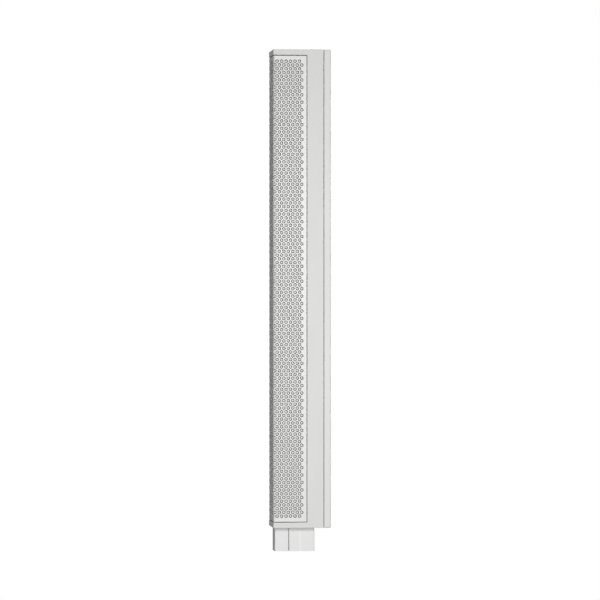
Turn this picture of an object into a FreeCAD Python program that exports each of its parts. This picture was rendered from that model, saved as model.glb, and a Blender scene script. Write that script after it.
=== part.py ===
"""Column loudspeaker with a plug-in spigot, as a parametric FreeCAD document. Millimetres.

The front faces -Y and +Z is up. The origin is the centre of the spigot, level with the column's underside.
Each sub-part is one labelled object, and its shape is written to parts/LABEL.step.
"""

import FreeCAD, Part
import math
import os
import types

import Sketcher

V = FreeCAD.Vector
X_AXIS, Y_AXIS, Z_AXIS = V(1, 0, 0), V(0, 1, 0), V(0, 0, 1)

DRIVING_SIZES = {
    # The column's outside
    "body_height": 1035.0,
    "body_width": 97.0,
    "body_depth": 125.3,
    "end_wall": 4.5,
    "side_wall": 4.5,
    "corner_radius": 2.0,
    "end_edge_radius": 0.8,
    # The stepped-in core that the grille wraps round
    "rail_height": 12.1,
    "baffle_setback": 15.0,
    "baffle_thickness": 6.0,
    "core_setback": 4.0,
    "core_wall": 4.0,
    "core_edge_radius": 1.5,
    # The grille, its cloth and its foam strips
    "grille_gap": 1.5,
    "grille_sheet": 1.2,
    "grille_front_setback": 0.3,
    "grille_side_setback": 0.2,
    "grille_bend": 4.0,
    "grille_return": 72.2,  # from the column's front back to the grille's rear edge
    "cloth_thickness": 0.8,
    "cloth_gap": 0.1,
    "strip_width": 10.0,
    "strip_edge_distance": 4.0,
    # The rear cover, its seam and its screws
    "cover_depth": 14.7,
    "seam_gap": 1.4,
    "cover_wall": 4.0,
    "cover_corner_radius": 3.0,
    "cover_end_radius": 2.5,
    "tongue_length": 5.0,
    "tongue_thickness": 2.0,
    "tongue_clearance": 0.3,
    "seal_width": 2.5,
    "cover_screw_inset": 10.5,  # from the column's side to a screw's axis
    "cover_screw_end_distance": 40.0,
    "cover_screws_per_side": 5,
    "pillar_radius": 4.5,
    "gusset_size": 10.0,
    "gusset_length": 16.0,
    "gusset_clearance": 0.5,
    "cover_screw_radius": 1.5,
    "cover_screw_hole_radius": 1.8,
    "cover_screw_head_radius": 3.0,
    "cover_screw_head_height": 2.2,
    "cover_screw_recess_radius": 3.5,
    "cover_screw_recess_depth": 5.0,
    "cover_screw_bite": 9.0,
    "pilot_clearance": 0.05,
    # The spigot
    "spigot_width": 50.0,
    "spigot_front_inset": 5.6,  # from the column's front to the spigot's
    "spigot_rear_inset": 33.2,
    "spigot_length": 51.7,
    "spigot_wall": 3.0,
    "spigot_top_plate": 4.0,
    "spigot_corner_radius": 1.5,
    "spigot_seam_setback": 30.3,  # from the spigot's front to the middle of its side seam
    "spigot_seam_gap": 1.5,
    "spigot_rib_setback": 54.3,
    "spigot_rib_width": 1.6,
    "spigot_rib_height": 0.3,
    "spigot_tongue_length": 5.0,
    "spigot_tongue_thickness": 2.0,
    "gasket_thickness": 1.0,
    "gasket_inset": 0.4,
    "wire_hole_radius": 7.0,
    "wire_hole_setback": 5.0,
    "spigot_screw_side": 15.0,
    "spigot_screw_inset": 11.1,  # from the spigot's front or rear face to a screw's axis
    "spigot_pillar_radius": 4.8,
    "spigot_screw_radius": 2.0,
    "spigot_screw_hole_radius": 2.3,
    "spigot_screw_head_radius": 3.6,
    "spigot_screw_head_height": 2.6,
    "spigot_screw_recess_radius": 4.2,
    "spigot_screw_recess_depth": 3.4,
    "spigot_screw_bite": 9.0,
    "spigot_pilot_spare": 1.0,
    "boss_height": 13.0,
    # The connector in the spigot's end
    "connector_setback": 0.8,
    "connector_thickness": 6.0,
    "connector_clearance": 0.3,
    "contact_count": 4,
    "contact_pitch": 7.0,
    "contact_thickness": 1.0,
    "contact_width": 12.0,
    "contact_height": 16.0,
    "contact_setback": 1.0,
    "contact_clearance": 0.1,
    # The drivers, measured backwards from the baffle's face and outwards from the driver's axis
    "driver_count": 8,
    "driver_end_margin": 29.5,  # of the column's height, left free at either end of the driver row
    "flange_side_clearance": 1.5,
    "flange_thickness": 2.5,
    "flange_lip": 3.5,  # from the basket's mouth in to the flange's opening
    "gasket_ring_thickness": 0.8,
    "mouth_inset": 6.5,  # from the flange's rim to the basket's mouth
    "mouth_clearance": 0.5,
    "basket_wall": 2.2,
    "basket_taper": 8.5,  # from the mouth's radius to the base's
    "basket_base_depth": 26.0,
    "basket_base_thickness": 2.0,
    "basket_bore_radius": 14.0,
    "spider_shelf_height": 2.0,
    "spider_shelf_lead": 0.5,  # how far the shelf reaches inside the spider's lip
    "window_width": 26.0,
    "window_start": 7.0,
    "window_end": 19.0,
    "tab_width": 12.0,
    "tab_length": 7.0,  # beyond the basket's base
    "tab_thickness": 1.2,
    "driver_screw_inset": 3.0,  # from the flange's rim to a screw's axis
    "driver_screw_bite": 5.2,
    "driver_screw_radius": 1.5,
    "driver_screw_hole_radius": 1.7,
    "driver_screw_head_radius": 2.9,
    "driver_screw_head_height": 2.0,
    "plate_inset": 1.0,  # inside the basket's base
    "plate_thickness": 4.0,
    "magnet_overhang": 3.0,  # beyond the plates
    "magnet_bore_radius": 14.0,
    "magnet_thickness": 14.0,
    "pole_clearance": 0.7,
    "coil_clearance": 0.6,
    "former_radius": 10.5,
    "former_thickness": 0.4,
    "former_end_depth": 34.0,
    "winding_thickness": 0.4,
    "winding_start_depth": 26.0,
    "winding_end_depth": 33.0,
    "cone_edge_depth": 3.0,
    "cone_neck_depth": 15.2,
    "cone_thickness": 0.9,
    "cap_radius": 14.0,
    "cap_front_depth": 8.2,
    "cap_thickness": 0.8,
    "roll_inset": 4.5,  # from the basket's mouth to the middle of the surround's roll
    "roll_radius": 3.0,
    "surround_thickness": 0.6,
    "spider_thickness": 0.6,
    "spider_rise": 4.2,
    "spider_clearance": 0.9,
    "spider_lip_width": 1.4,
    # The filter board, the damping foam and the wiring
    "board_side_clearance": 2.5,  # from the screw pillars
    "board_height": 86.0,
    "board_thickness": 1.6,
    "board_bottom": 64.0,
    "board_standoff": 12.0,
    "post_radius": 3.0,
    "post_inset": 6.0,
    "peg_radius": 1.4,
    "peg_hole_radius": 1.5,
    "peg_length": 2.6,
    "coil_radius": 14.0,
    "coil_bore_radius": 5.0,
    "coil_height": 14.0,
    "capacitor_radius": 6.0,
    "capacitor_length": 26.0,
    "capacitor_gap": 2.0,
    "foam_thickness": 12.0,
    "foam_side_clearance": 1.5,  # from the screw pillars
    "foam_bottom": 190.0,
    "foam_top_distance": 40.0,
    "loom_radius": 3.0,
    "loom_clearance": 2.0,  # behind the motors
    "loom_straight_height": 22.0,
    "loom_bend_height": 52.0,
    "loom_top_distance": 100.0,
    "lead_radius": 1.0,
    # Hexagon sockets, as shares of their screw's head
    "socket_width_share": 0.55,
    "socket_depth_share": 0.6,
}

document = FreeCAD.newDocument("column_loudspeaker")
sheet = document.addObject("Spreadsheet::Sheet", "sizes")
for row, (alias, millimetres) in enumerate(DRIVING_SIZES.items(), start=1):
    sheet.set(f"A{row}", alias)
    sheet.set(f"B{row}", str(millimetres))
    sheet.setAlias(f"B{row}", alias)
document.recompute()


class Size:
    """A length, with the expression that ties it to the sheet. Sums and products of sizes are sizes too."""

    def __init__(self, value, text):
        self.value = value
        self.text = text

    def __add__(self, other):
        other = as_size(other)
        return Size(self.value + other.value, f"({self.text} + {other.text})")

    def __sub__(self, other):
        other = as_size(other)
        return Size(self.value - other.value, f"({self.text} - {other.text})")

    def __mul__(self, other):
        other = as_size(other)
        return Size(self.value * other.value, f"({self.text} * {other.text})")

    def __truediv__(self, other):
        other = as_size(other)
        return Size(self.value / other.value, f"({self.text} / {other.text})")

    def __neg__(self):
        return Size(-self.value, f"(0 - {self.text})")

    __radd__ = __add__
    __rmul__ = __mul__

    def __rsub__(self, other):
        return as_size(other) - self


def as_size(number):
    return number if isinstance(number, Size) else Size(float(number), repr(float(number)))


S = types.SimpleNamespace(**{alias: Size(value, f"sizes.{alias}") for alias, value in DRIVING_SIZES.items()})

# Sizes and places worked out from the driving sizes
spigot_depth = S.body_depth - S.spigot_front_inset - S.spigot_rear_inset
front_reach = spigot_depth / 2 + S.spigot_front_inset
half_width = S.body_width / 2
body_front = -front_reach
body_back = S.body_depth - front_reach
cover_front = body_back - S.cover_depth
shell_back = cover_front - S.seam_gap
baffle_face = body_front + S.baffle_setback
baffle_back = baffle_face + S.baffle_thickness
core_half_width = half_width - S.core_setback
recess_back = body_front + S.grille_return + S.grille_gap
recess_height = S.body_height - 2 * S.rail_height
cavity_half_width = half_width - S.side_wall
cavity_height = S.body_height - 2 * S.end_wall
cover_screw_x = half_width - S.cover_screw_inset
cover_screw_pitch = (S.body_height - 2 * S.cover_screw_end_distance) / (S.cover_screws_per_side - 1)
gusset_back = shell_back - S.tongue_length - S.gusset_clearance
cover_screw_length = body_back - S.cover_screw_recess_depth - gusset_back + S.cover_screw_bite
spigot_front = -spigot_depth / 2
spigot_screw_reach = spigot_depth / 2 - S.spigot_screw_inset
spigot_bottom = -S.spigot_length
spigot_top = -S.gasket_thickness
seam_centre = spigot_front + S.spigot_seam_setback
connector_bottom = spigot_bottom + S.connector_setback
connector_top = connector_bottom + S.connector_thickness
contact_bottom = connector_bottom + S.contact_setback
driver_pitch = (S.body_height - 2 * S.driver_end_margin) / S.driver_count
first_driver = S.driver_end_margin + driver_pitch / 2
flange_radius = core_half_width - S.flange_side_clearance
driver_screw_reach = (flange_radius - S.driver_screw_inset) * math.sqrt(0.5)
driver_screw_length = S.flange_thickness + S.gasket_ring_thickness + S.driver_screw_bite
basket_mouth_radius = flange_radius - S.mouth_inset
baffle_hole_radius = basket_mouth_radius + S.mouth_clearance
flange_inner_radius = basket_mouth_radius - S.flange_lip
basket_base_radius = basket_mouth_radius - S.basket_taper
basket_inner_radius = basket_base_radius - S.basket_wall
tab_reach = basket_base_radius + S.tab_length
spider_outer_radius = basket_inner_radius - S.spider_clearance
spider_lip_radius = spider_outer_radius - S.spider_lip_width
spider_shelf_radius = spider_lip_radius - S.spider_shelf_lead
plate_radius = basket_base_radius - S.plate_inset
magnet_radius = plate_radius + S.magnet_overhang
pole_radius = S.former_radius - S.former_thickness - S.pole_clearance
gap_outer_radius = S.former_radius + S.winding_thickness + S.coil_clearance
roll_centre_radius = basket_mouth_radius - S.roll_inset
cone_radius = roll_centre_radius - S.roll_radius - S.surround_thickness
motor_end_depth = S.basket_base_depth + 2 * S.plate_thickness + S.magnet_thickness
pillar_inner = cover_screw_x - S.pillar_radius
board_half_width = pillar_inner - S.board_side_clearance
foam_half_width = pillar_inner - S.foam_side_clearance
board_face = body_back - S.cover_wall - S.board_standoff - S.board_thickness
loom_place = baffle_face + motor_end_depth + S.loom_clearance + S.loom_radius


# Ways of drawing that every piece uses


def bind(thing, path, length):
    """Ties one property to the sheet."""
    thing.setExpression(path, as_size(length).text)


def new_body(label):
    body = document.addObject("PartDesign::Body", label)
    body.Label = label
    return body


def new_sketch(body, name, role, height=0.0):
    """A sketch on one of the body's own origin planes, raised along the plane's normal."""
    sketch = body.newObject("Sketcher::SketchObject", name)
    plane = next(feature for feature in body.Origin.OriginFeatures if feature.Role == role)
    sketch.AttachmentSupport = [(plane, "")]
    sketch.MapMode = "FlatFace"
    bind(sketch, "AttachmentOffset.Base.z", height)
    return sketch


def pin_point(sketch, geometry, point, x, y):
    """Fixes a sketch point at sheet-driven distances from the sketch's origin."""
    for direction, length in (("DistanceX", as_size(x)), ("DistanceY", as_size(y))):
        constraint = Sketcher.Constraint(direction, -1, 1, geometry, point, length.value)
        bind(sketch, f"Constraints[{sketch.addConstraint(constraint)}]", length)


def bulged(start, end, radius):
    """The arc of the given radius from start to end. It stands out on the left of that direction for a
    positive radius and on the right for a negative one. It always runs anticlockwise."""
    chord = end - start
    half = chord.Length / 2
    left = V(-chord.y, chord.x, 0).normalize()
    to_centre = math.sqrt(max(radius * radius - half * half, 0.0))
    centre = (start + end) / 2 - left * math.copysign(to_centre, radius)
    first, last = (end, start) if radius > 0 else (start, end)
    angles = [math.atan2(point.y - centre.y, point.x - centre.x) for point in (first, last)]
    if angles[1] < angles[0]:
        angles[1] += 2 * math.pi
    return Part.ArcOfCircle(Part.Circle(centre, Z_AXIS, abs(radius)), *angles)


def draw_outline(sketch, corners, arcs=None):
    """A closed outline through the corners. arcs gives a radius for the edge that leaves a corner, by its
    number: a positive one bulges to the left of the direction of travel, a negative one to the right."""
    arcs = {number: as_size(radius) for number, radius in (arcs or {}).items()}
    first = sketch.GeometryCount
    places = [V(as_size(x).value, as_size(y).value, 0) for x, y in corners]
    count = len(corners)
    ends = {}
    for number in range(count):
        start, end = places[number], places[(number + 1) % count]
        if number in arcs:
            sketch.addGeometry(bulged(start, end, arcs[number].value), False)
        else:
            sketch.addGeometry(Part.LineSegment(start, end), False)
        ends[number] = (2, 1) if number in arcs and arcs[number].value > 0 else (1, 2)
    for number in range(count):
        following = (number + 1) % count
        joint = (first + number, ends[number][1], first + following, ends[following][0])
        sketch.addConstraint(Sketcher.Constraint("Coincident", *joint))
    for number, (x, y) in enumerate(corners):
        pin_point(sketch, first + number, ends[number][0], x, y)
    for number, radius in arcs.items():
        size = Size(abs(radius.value), f"abs({radius.text})")
        constraint = Sketcher.Constraint("Radius", first + number, size.value)
        bind(sketch, f"Constraints[{sketch.addConstraint(constraint)}]", size)


def draw_rectangle(sketch, left, right, low, high):
    draw_outline(sketch, [(left, low), (right, low), (right, high), (left, high)])


def draw_circle(sketch, x, y, radius):
    radius = as_size(radius)
    centre = V(as_size(x).value, as_size(y).value, 0)
    number = sketch.addGeometry(Part.Circle(centre, Z_AXIS, radius.value), False)
    pin_point(sketch, number, 3, x, y)
    constraint = Sketcher.Constraint("Radius", number, radius.value)
    bind(sketch, f"Constraints[{sketch.addConstraint(constraint)}]", radius)


def volume_of(body):
    return body.Tip.Shape.Volume if body.Tip and not body.Tip.Shape.isNull() else 0.0


def add_feature(body, kind, name, sketch, **settings):
    """A sketched feature. It stops with a message if it added or cut nothing."""
    before = volume_of(body)
    feature = body.newObject(f"PartDesign::{kind}", name)
    feature.Profile = sketch
    for key, value in settings.items():
        if isinstance(value, Size):
            bind(feature, key, value)
        else:
            setattr(feature, key, value)
    document.recompute()
    change = volume_of(body) - before
    expected = change < -1e-6 if kind in ("Pocket", "Groove") else change > 1e-6
    if not expected:
        raise RuntimeError(f"{body.Label} {name} changed the volume by {change:.3f} mm3")
    return feature


def pad(body, name, sketch, length, **settings):
    return add_feature(body, "Pad", name, sketch, Length=as_size(length), **settings)


def pocket(body, name, sketch, length, **settings):
    return add_feature(body, "Pocket", name, sketch, Length=as_size(length), **settings)


def revolve(body, name, sketch):
    return add_feature(body, "Revolution", name, sketch, ReferenceAxis=(sketch, ["V_Axis"]), Angle=360.0)


def repeat_in_line(body, name, features, sketch, axis, count, pitch):
    """Repeats features along a sketch axis."""
    pattern = body.newObject("PartDesign::LinearPattern", name)
    pattern.Originals = features
    pattern.Direction = (sketch, [axis])
    bind(pattern, "Occurrences", count)
    bind(pattern, "Length", (count - 1) * pitch)
    body.Tip = pattern
    document.recompute()
    return pattern


def round_edges(body, name, radius, wanted):
    """Rounds the edges of the body's last feature whose two end points and middle satisfy wanted(edge)."""
    base = body.Tip
    names = [f"Edge{n}" for n, edge in enumerate(base.Shape.Edges, start=1) if wanted(edge)]
    if not names:
        raise RuntimeError(f"{body.Label} {name} found no edge to round")
    feature = body.newObject("PartDesign::Fillet", name)
    feature.Base = (base, names)
    bind(feature, "Radius", radius)
    document.recompute()
    return feature


def runs_upright(edge):
    start, end = edge.Vertexes[0].Point, edge.Vertexes[-1].Point
    return math.hypot(start.x - end.x, start.y - end.y) < 1e-6 and abs(start.z - end.z) > 1e-6


def all_at(edge, axis, *levels):
    """Whether both ends and the middle of the edge lie at one of the levels along an axis."""
    middle = edge.valueAt((edge.FirstParameter + edge.LastParameter) / 2)
    points = [vertex.Point for vertex in edge.Vertexes] + [middle]
    return any(all(abs(getattr(point, axis) - level) < 1e-6 for point in points) for level in levels)


def place(thing, x=0.0, y=0.0, z=0.0):
    for axis, length in (("x", x), ("y", y), ("z", z)):
        bind(thing, f"Placement.Base.{axis}", length)
    return thing


def turn(thing, axis, degrees):
    thing.Placement = FreeCAD.Placement(V(), FreeCAD.Rotation(axis, degrees))
    return thing


def cylinder(name, radius, height):
    solid = document.addObject("Part::Cylinder", name)
    bind(solid, "Radius", radius)
    bind(solid, "Height", height)
    return solid


def block(name, length, width, height):
    solid = document.addObject("Part::Box", name)
    bind(solid, "Length", length)
    bind(solid, "Width", width)
    bind(solid, "Height", height)
    return solid


def joined(name, *solids):
    fuse = document.addObject("Part::MultiFuse", name)
    fuse.Shapes = list(solids)
    return fuse


def cut(name, base, tool):
    result = document.addObject("Part::Cut", name)
    result.Base = base
    result.Tool = tool
    return result


def group(label, solids):
    """Separate solids kept as one sub-part."""
    compound = document.addObject("Part::Compound", label)
    compound.Label = label
    compound.Links = solids
    return compound


def screw(name, head_radius, head_height, shank_radius, length):
    """A socket-headed screw along Z. Its head's underside is at z = 0 and its shank runs up."""
    head = place(cylinder(f"{name}_head", head_radius, head_height), z=-head_height)
    shank = cylinder(f"{name}_shank", shank_radius, length)
    socket = document.addObject("Part::Prism", f"{name}_socket")
    socket.Polygon = 6
    bind(socket, "Circumradius", head_radius * S.socket_width_share)
    bind(socket, "Height", head_height * S.socket_depth_share)
    place(socket, z=-head_height)
    return cut(name, joined(f"{name}_solid", head, shank), socket)


# Front shell: one moulding with the baffle, side walls, end walls and rails


def make_front_shell():
    body = new_body("front_shell")
    outline = new_sketch(body, "shell_outline", "XY_Plane")
    draw_rectangle(outline, -half_width, half_width, body_front, shell_back)
    pad(body, "shell_block", outline, S.body_height)
    round_edges(
        body,
        "shell_corners",
        S.corner_radius,
        lambda edge: runs_upright(edge) and all_at(edge, "y", body_front.value),
    )
    round_edges(
        body,
        "shell_ends",
        S.end_edge_radius,
        lambda edge: all_at(edge, "z", 0.0, S.body_height.value) and not all_at(edge, "y", shell_back.value),
    )

    recess = new_sketch(body, "recess_outline", "XY_Plane", S.rail_height)
    beyond = half_width + S.grille_gap
    ahead = body_front - S.grille_gap
    radius = S.core_edge_radius
    draw_outline(
        recess,
        [
            (-beyond, ahead),
            (beyond, ahead),
            (beyond, recess_back),
            (core_half_width, recess_back),
            (core_half_width, baffle_face + radius),
            (core_half_width - radius, baffle_face),
            (radius - core_half_width, baffle_face),
            (-core_half_width, baffle_face + radius),
            (-core_half_width, recess_back),
            (-beyond, recess_back),
        ],
        arcs={4: -radius, 6: -radius},
    )
    pocket(body, "grille_recess", recess, recess_height, Reversed=True)

    cavity = new_sketch(body, "cavity_outline", "XY_Plane", S.end_wall)
    narrow = core_half_width - S.core_wall
    step = recess_back + S.core_wall
    draw_outline(
        cavity,
        [
            (-narrow, baffle_back),
            (narrow, baffle_back),
            (narrow, step),
            (cavity_half_width, step),
            (cavity_half_width, shell_back + S.seam_gap),
            (-cavity_half_width, shell_back + S.seam_gap),
            (-cavity_half_width, step),
            (-narrow, step),
        ],
    )
    pocket(body, "cavity", cavity, cavity_height, Reversed=True)

    opening = new_sketch(body, "driver_opening_outline", "XZ_Plane", -baffle_face)
    draw_circle(opening, 0, first_driver, baffle_hole_radius)
    openings = pocket(body, "driver_opening", opening, S.baffle_thickness)
    pilots = new_sketch(body, "driver_pilot_outline", "XZ_Plane", -baffle_face)
    radius = S.driver_screw_radius + S.pilot_clearance
    for side in (-1, 1):
        for up in (-1, 1):
            draw_circle(pilots, side * driver_screw_reach, first_driver + up * driver_screw_reach, radius)
    pilot = pocket(body, "driver_pilots", pilots, S.baffle_thickness)
    repeat_in_line(body, "driver_row", [openings, pilot], opening, "V_Axis", S.driver_count, driver_pitch)

    gusset = new_sketch(body, "gusset_outline", "XZ_Plane", -gusset_back)
    for side in (-1, 1):
        inner = side * (cover_screw_x - S.gusset_size / 2)
        outer = side * (cavity_half_width + S.tongue_clearance)
        low = S.cover_screw_end_distance - S.gusset_size / 2
        draw_rectangle(gusset, *((inner, outer) if side > 0 else (outer, inner)), low, low + S.gusset_size)
    gussets = pad(body, "gussets", gusset, S.gusset_length)
    holes = new_sketch(body, "gusset_pilot_outline", "XZ_Plane", -(gusset_back - S.gusset_length))
    for side in (-1, 1):
        draw_circle(
            holes, side * cover_screw_x, S.cover_screw_end_distance, S.cover_screw_radius + S.pilot_clearance
        )
    repeat_in_line(
        body, "gusset_rows", [gussets], gusset, "V_Axis", S.cover_screws_per_side, cover_screw_pitch
    )
    pilots = pocket(body, "gusset_pilots", holes, S.gusset_length)
    repeat_in_line(
        body, "gusset_pilot_rows", [pilots], holes, "V_Axis", S.cover_screws_per_side, cover_screw_pitch
    )

    boss = new_sketch(body, "boss_outline", "XY_Plane", S.end_wall - S.tongue_clearance)
    for side in (-1, 1):
        draw_circle(boss, side * S.spigot_screw_side, spigot_screw_reach, S.spigot_pillar_radius)
    pad(body, "spigot_bosses", boss, S.boss_height - S.end_wall + S.tongue_clearance)
    tapped = new_sketch(body, "spigot_pilot_outline", "XY_Plane")
    for side in (-1, 1):
        for end in (-1, 1):
            draw_circle(
                tapped,
                side * S.spigot_screw_side,
                end * spigot_screw_reach,
                S.spigot_screw_radius + S.pilot_clearance,
            )
    pocket(body, "spigot_pilots", tapped, S.spigot_screw_bite + S.spigot_pilot_spare, Reversed=True)
    passage = new_sketch(body, "wire_passage_outline", "XY_Plane")
    draw_circle(passage, 0, S.wire_hole_setback, S.wire_hole_radius)
    pocket(body, "wire_passage", passage, S.end_wall, Reversed=True)
    return body


# Rear cover: a shallow moulded tray with a tongue that locates in the shell, screw pillars and board posts


def make_rear_cover():
    body = new_body("rear_cover")
    outline = new_sketch(body, "cover_outline", "XY_Plane")
    draw_rectangle(outline, -half_width, half_width, cover_front, body_back)
    pad(body, "cover_block", outline, S.body_height)
    round_edges(
        body,
        "cover_corners",
        S.cover_corner_radius,
        lambda edge: runs_upright(edge) and all_at(edge, "y", body_back.value),
    )
    round_edges(
        body,
        "cover_ends",
        S.cover_end_radius,
        lambda edge: all_at(edge, "z", 0.0, S.body_height.value) and not all_at(edge, "y", cover_front.value),
    )
    tray = new_sketch(body, "tray_outline", "XZ_Plane", -cover_front)
    tongue_half = cavity_half_width - S.tongue_clearance
    tongue_low = S.end_wall + S.tongue_clearance
    inner_half = tongue_half - S.tongue_thickness
    inner_low = tongue_low + S.tongue_thickness
    draw_rectangle(tray, -inner_half, inner_half, inner_low, S.body_height - inner_low)
    pocket(body, "tray", tray, S.cover_depth - S.cover_wall)

    tongue = new_sketch(body, "tongue_outline", "XZ_Plane", -cover_front)
    draw_rectangle(tongue, -tongue_half, tongue_half, tongue_low, S.body_height - tongue_low)
    draw_rectangle(tongue, -inner_half, inner_half, inner_low, S.body_height - inner_low)
    pad(body, "tongue", tongue, S.seam_gap + S.tongue_length)

    pillar = new_sketch(body, "pillar_outline", "XZ_Plane", -(gusset_back + S.tongue_clearance))
    for side in (-1, 1):
        draw_circle(pillar, side * cover_screw_x, S.cover_screw_end_distance, S.pillar_radius)
    depth = body_back - S.cover_wall - gusset_back - S.tongue_clearance
    pillars = pad(body, "pillars", pillar, depth, Reversed=True)
    repeat_in_line(
        body, "pillar_rows", [pillars], pillar, "V_Axis", S.cover_screws_per_side, cover_screw_pitch
    )
    shank = new_sketch(body, "shank_hole_outline", "XZ_Plane", -(gusset_back + S.tongue_clearance))
    head = new_sketch(body, "head_recess_outline", "XZ_Plane", -(body_back - S.cover_screw_recess_depth))
    for side in (-1, 1):
        draw_circle(shank, side * cover_screw_x, S.cover_screw_end_distance, S.cover_screw_hole_radius)
        draw_circle(head, side * cover_screw_x, S.cover_screw_end_distance, S.cover_screw_recess_radius)
    holes = pocket(body, "shank_holes", shank, depth + S.cover_wall)
    recesses = pocket(body, "head_recesses", head, S.cover_screw_recess_depth)
    repeat_in_line(
        body,
        "screw_hole_rows",
        [holes, recesses],
        shank,
        "V_Axis",
        S.cover_screws_per_side,
        cover_screw_pitch,
    )

    posts = new_sketch(body, "post_outline", "XZ_Plane", -(board_face + S.board_thickness))
    pegs = new_sketch(body, "peg_outline", "XZ_Plane", -(board_face + S.board_thickness))
    for x, z in board_hole_places():
        draw_circle(posts, x, z, S.post_radius)
        draw_circle(pegs, x, z, S.peg_radius)
    pad(body, "board_posts", posts, S.board_standoff, Reversed=True)
    pad(body, "board_pegs", pegs, S.peg_length)
    return body


def board_hole_places():
    """The four fixing holes of the filter board."""
    side = board_half_width - S.post_inset
    low = S.board_bottom + S.post_inset
    high = S.board_bottom + S.board_height - S.post_inset
    return [(-side, low), (side, low), (side, high), (-side, high)]


def make_rear_cover_seal():
    body = new_body("rear_cover_seal")
    ring = new_sketch(body, "seal_outline", "XZ_Plane", -cover_front)
    draw_rectangle(
        ring,
        -(cavity_half_width + S.seal_width),
        cavity_half_width + S.seal_width,
        S.end_wall - S.seal_width,
        S.body_height - S.end_wall + S.seal_width,
    )
    draw_rectangle(ring, -cavity_half_width, cavity_half_width, S.end_wall, S.body_height - S.end_wall)
    pad(body, "seal_ring", ring, S.seam_gap)
    return body


def make_rear_cover_screws():
    screws = []
    rows = int(S.cover_screws_per_side.value)
    for side in (-1, 1):
        for row in range(rows):
            one = screw(
                f"cover_screw_{'left' if side < 0 else 'right'}_{row + 1}",
                S.cover_screw_head_radius,
                S.cover_screw_head_height,
                S.cover_screw_radius,
                cover_screw_length,
            )
            turn(one, X_AXIS, 90)
            height = S.cover_screw_end_distance + row * cover_screw_pitch
            screws.append(place(one, side * cover_screw_x, body_back - S.cover_screw_recess_depth, height))
    return group("rear_cover_screws", screws)


# Grille: steel sheet folded round the front and both sides, with cloth and foam strips behind it


def folded_sheet_outline(sketch, outer_half, front, back, thickness, bend):
    """The outline of a U-shaped sheet, open to the rear, with round bends."""
    inner_half = outer_half - thickness
    inner_bend = bend - thickness
    draw_outline(
        sketch,
        [
            (-outer_half, back),
            (-outer_half, front + bend),
            (bend - outer_half, front),
            (outer_half - bend, front),
            (outer_half, front + bend),
            (outer_half, back),
            (inner_half, back),
            (inner_half, front + bend),
            (inner_half - inner_bend, front + thickness),
            (inner_bend - inner_half, front + thickness),
            (-inner_half, front + bend),
            (-inner_half, back),
        ],
        arcs={1: -bend, 3: -bend, 7: inner_bend, 9: inner_bend},
    )


def make_grille():
    body = new_body("grille")
    sheet_outline = new_sketch(body, "grille_outline", "XY_Plane", S.rail_height + S.grille_gap)
    folded_sheet_outline(
        sheet_outline,
        half_width - S.grille_side_setback,
        body_front + S.grille_front_setback,
        body_front + S.grille_return,
        S.grille_sheet,
        S.grille_bend,
    )
    pad(body, "grille_sheet_metal", sheet_outline, recess_height - 2 * S.grille_gap)
    return body


def make_grille_cloth():
    body = new_body("grille_cloth")
    edge = S.grille_gap + S.grille_sheet
    inset = S.grille_sheet + S.cloth_gap
    outline = new_sketch(body, "cloth_outline", "XY_Plane", S.rail_height + edge)
    folded_sheet_outline(
        outline,
        half_width - S.grille_side_setback - inset,
        body_front + S.grille_front_setback + inset,
        body_front + S.grille_return - S.grille_sheet,
        S.cloth_thickness,
        S.grille_bend - inset,
    )
    pad(body, "cloth", outline, recess_height - 2 * edge)
    return body


def make_grille_foam_strips():
    strips = []
    outer = half_width - S.grille_side_setback - S.grille_sheet - S.cloth_gap - S.cloth_thickness
    depth_place = body_front + S.grille_return - S.strip_edge_distance - S.strip_width
    low = S.rail_height + S.grille_gap + S.strip_edge_distance
    for side in ("left", "right"):
        strip = block(
            f"foam_strip_{side}", outer - core_half_width, S.strip_width, S.body_height - 2 * low
        )
        strips.append(place(strip, core_half_width if side == "right" else -outer, depth_place, low))
    return group("grille_foam_strips", strips)


# Spigot: two moulded halves under a gasket, clamped by four long screws with the connector in its end


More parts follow.
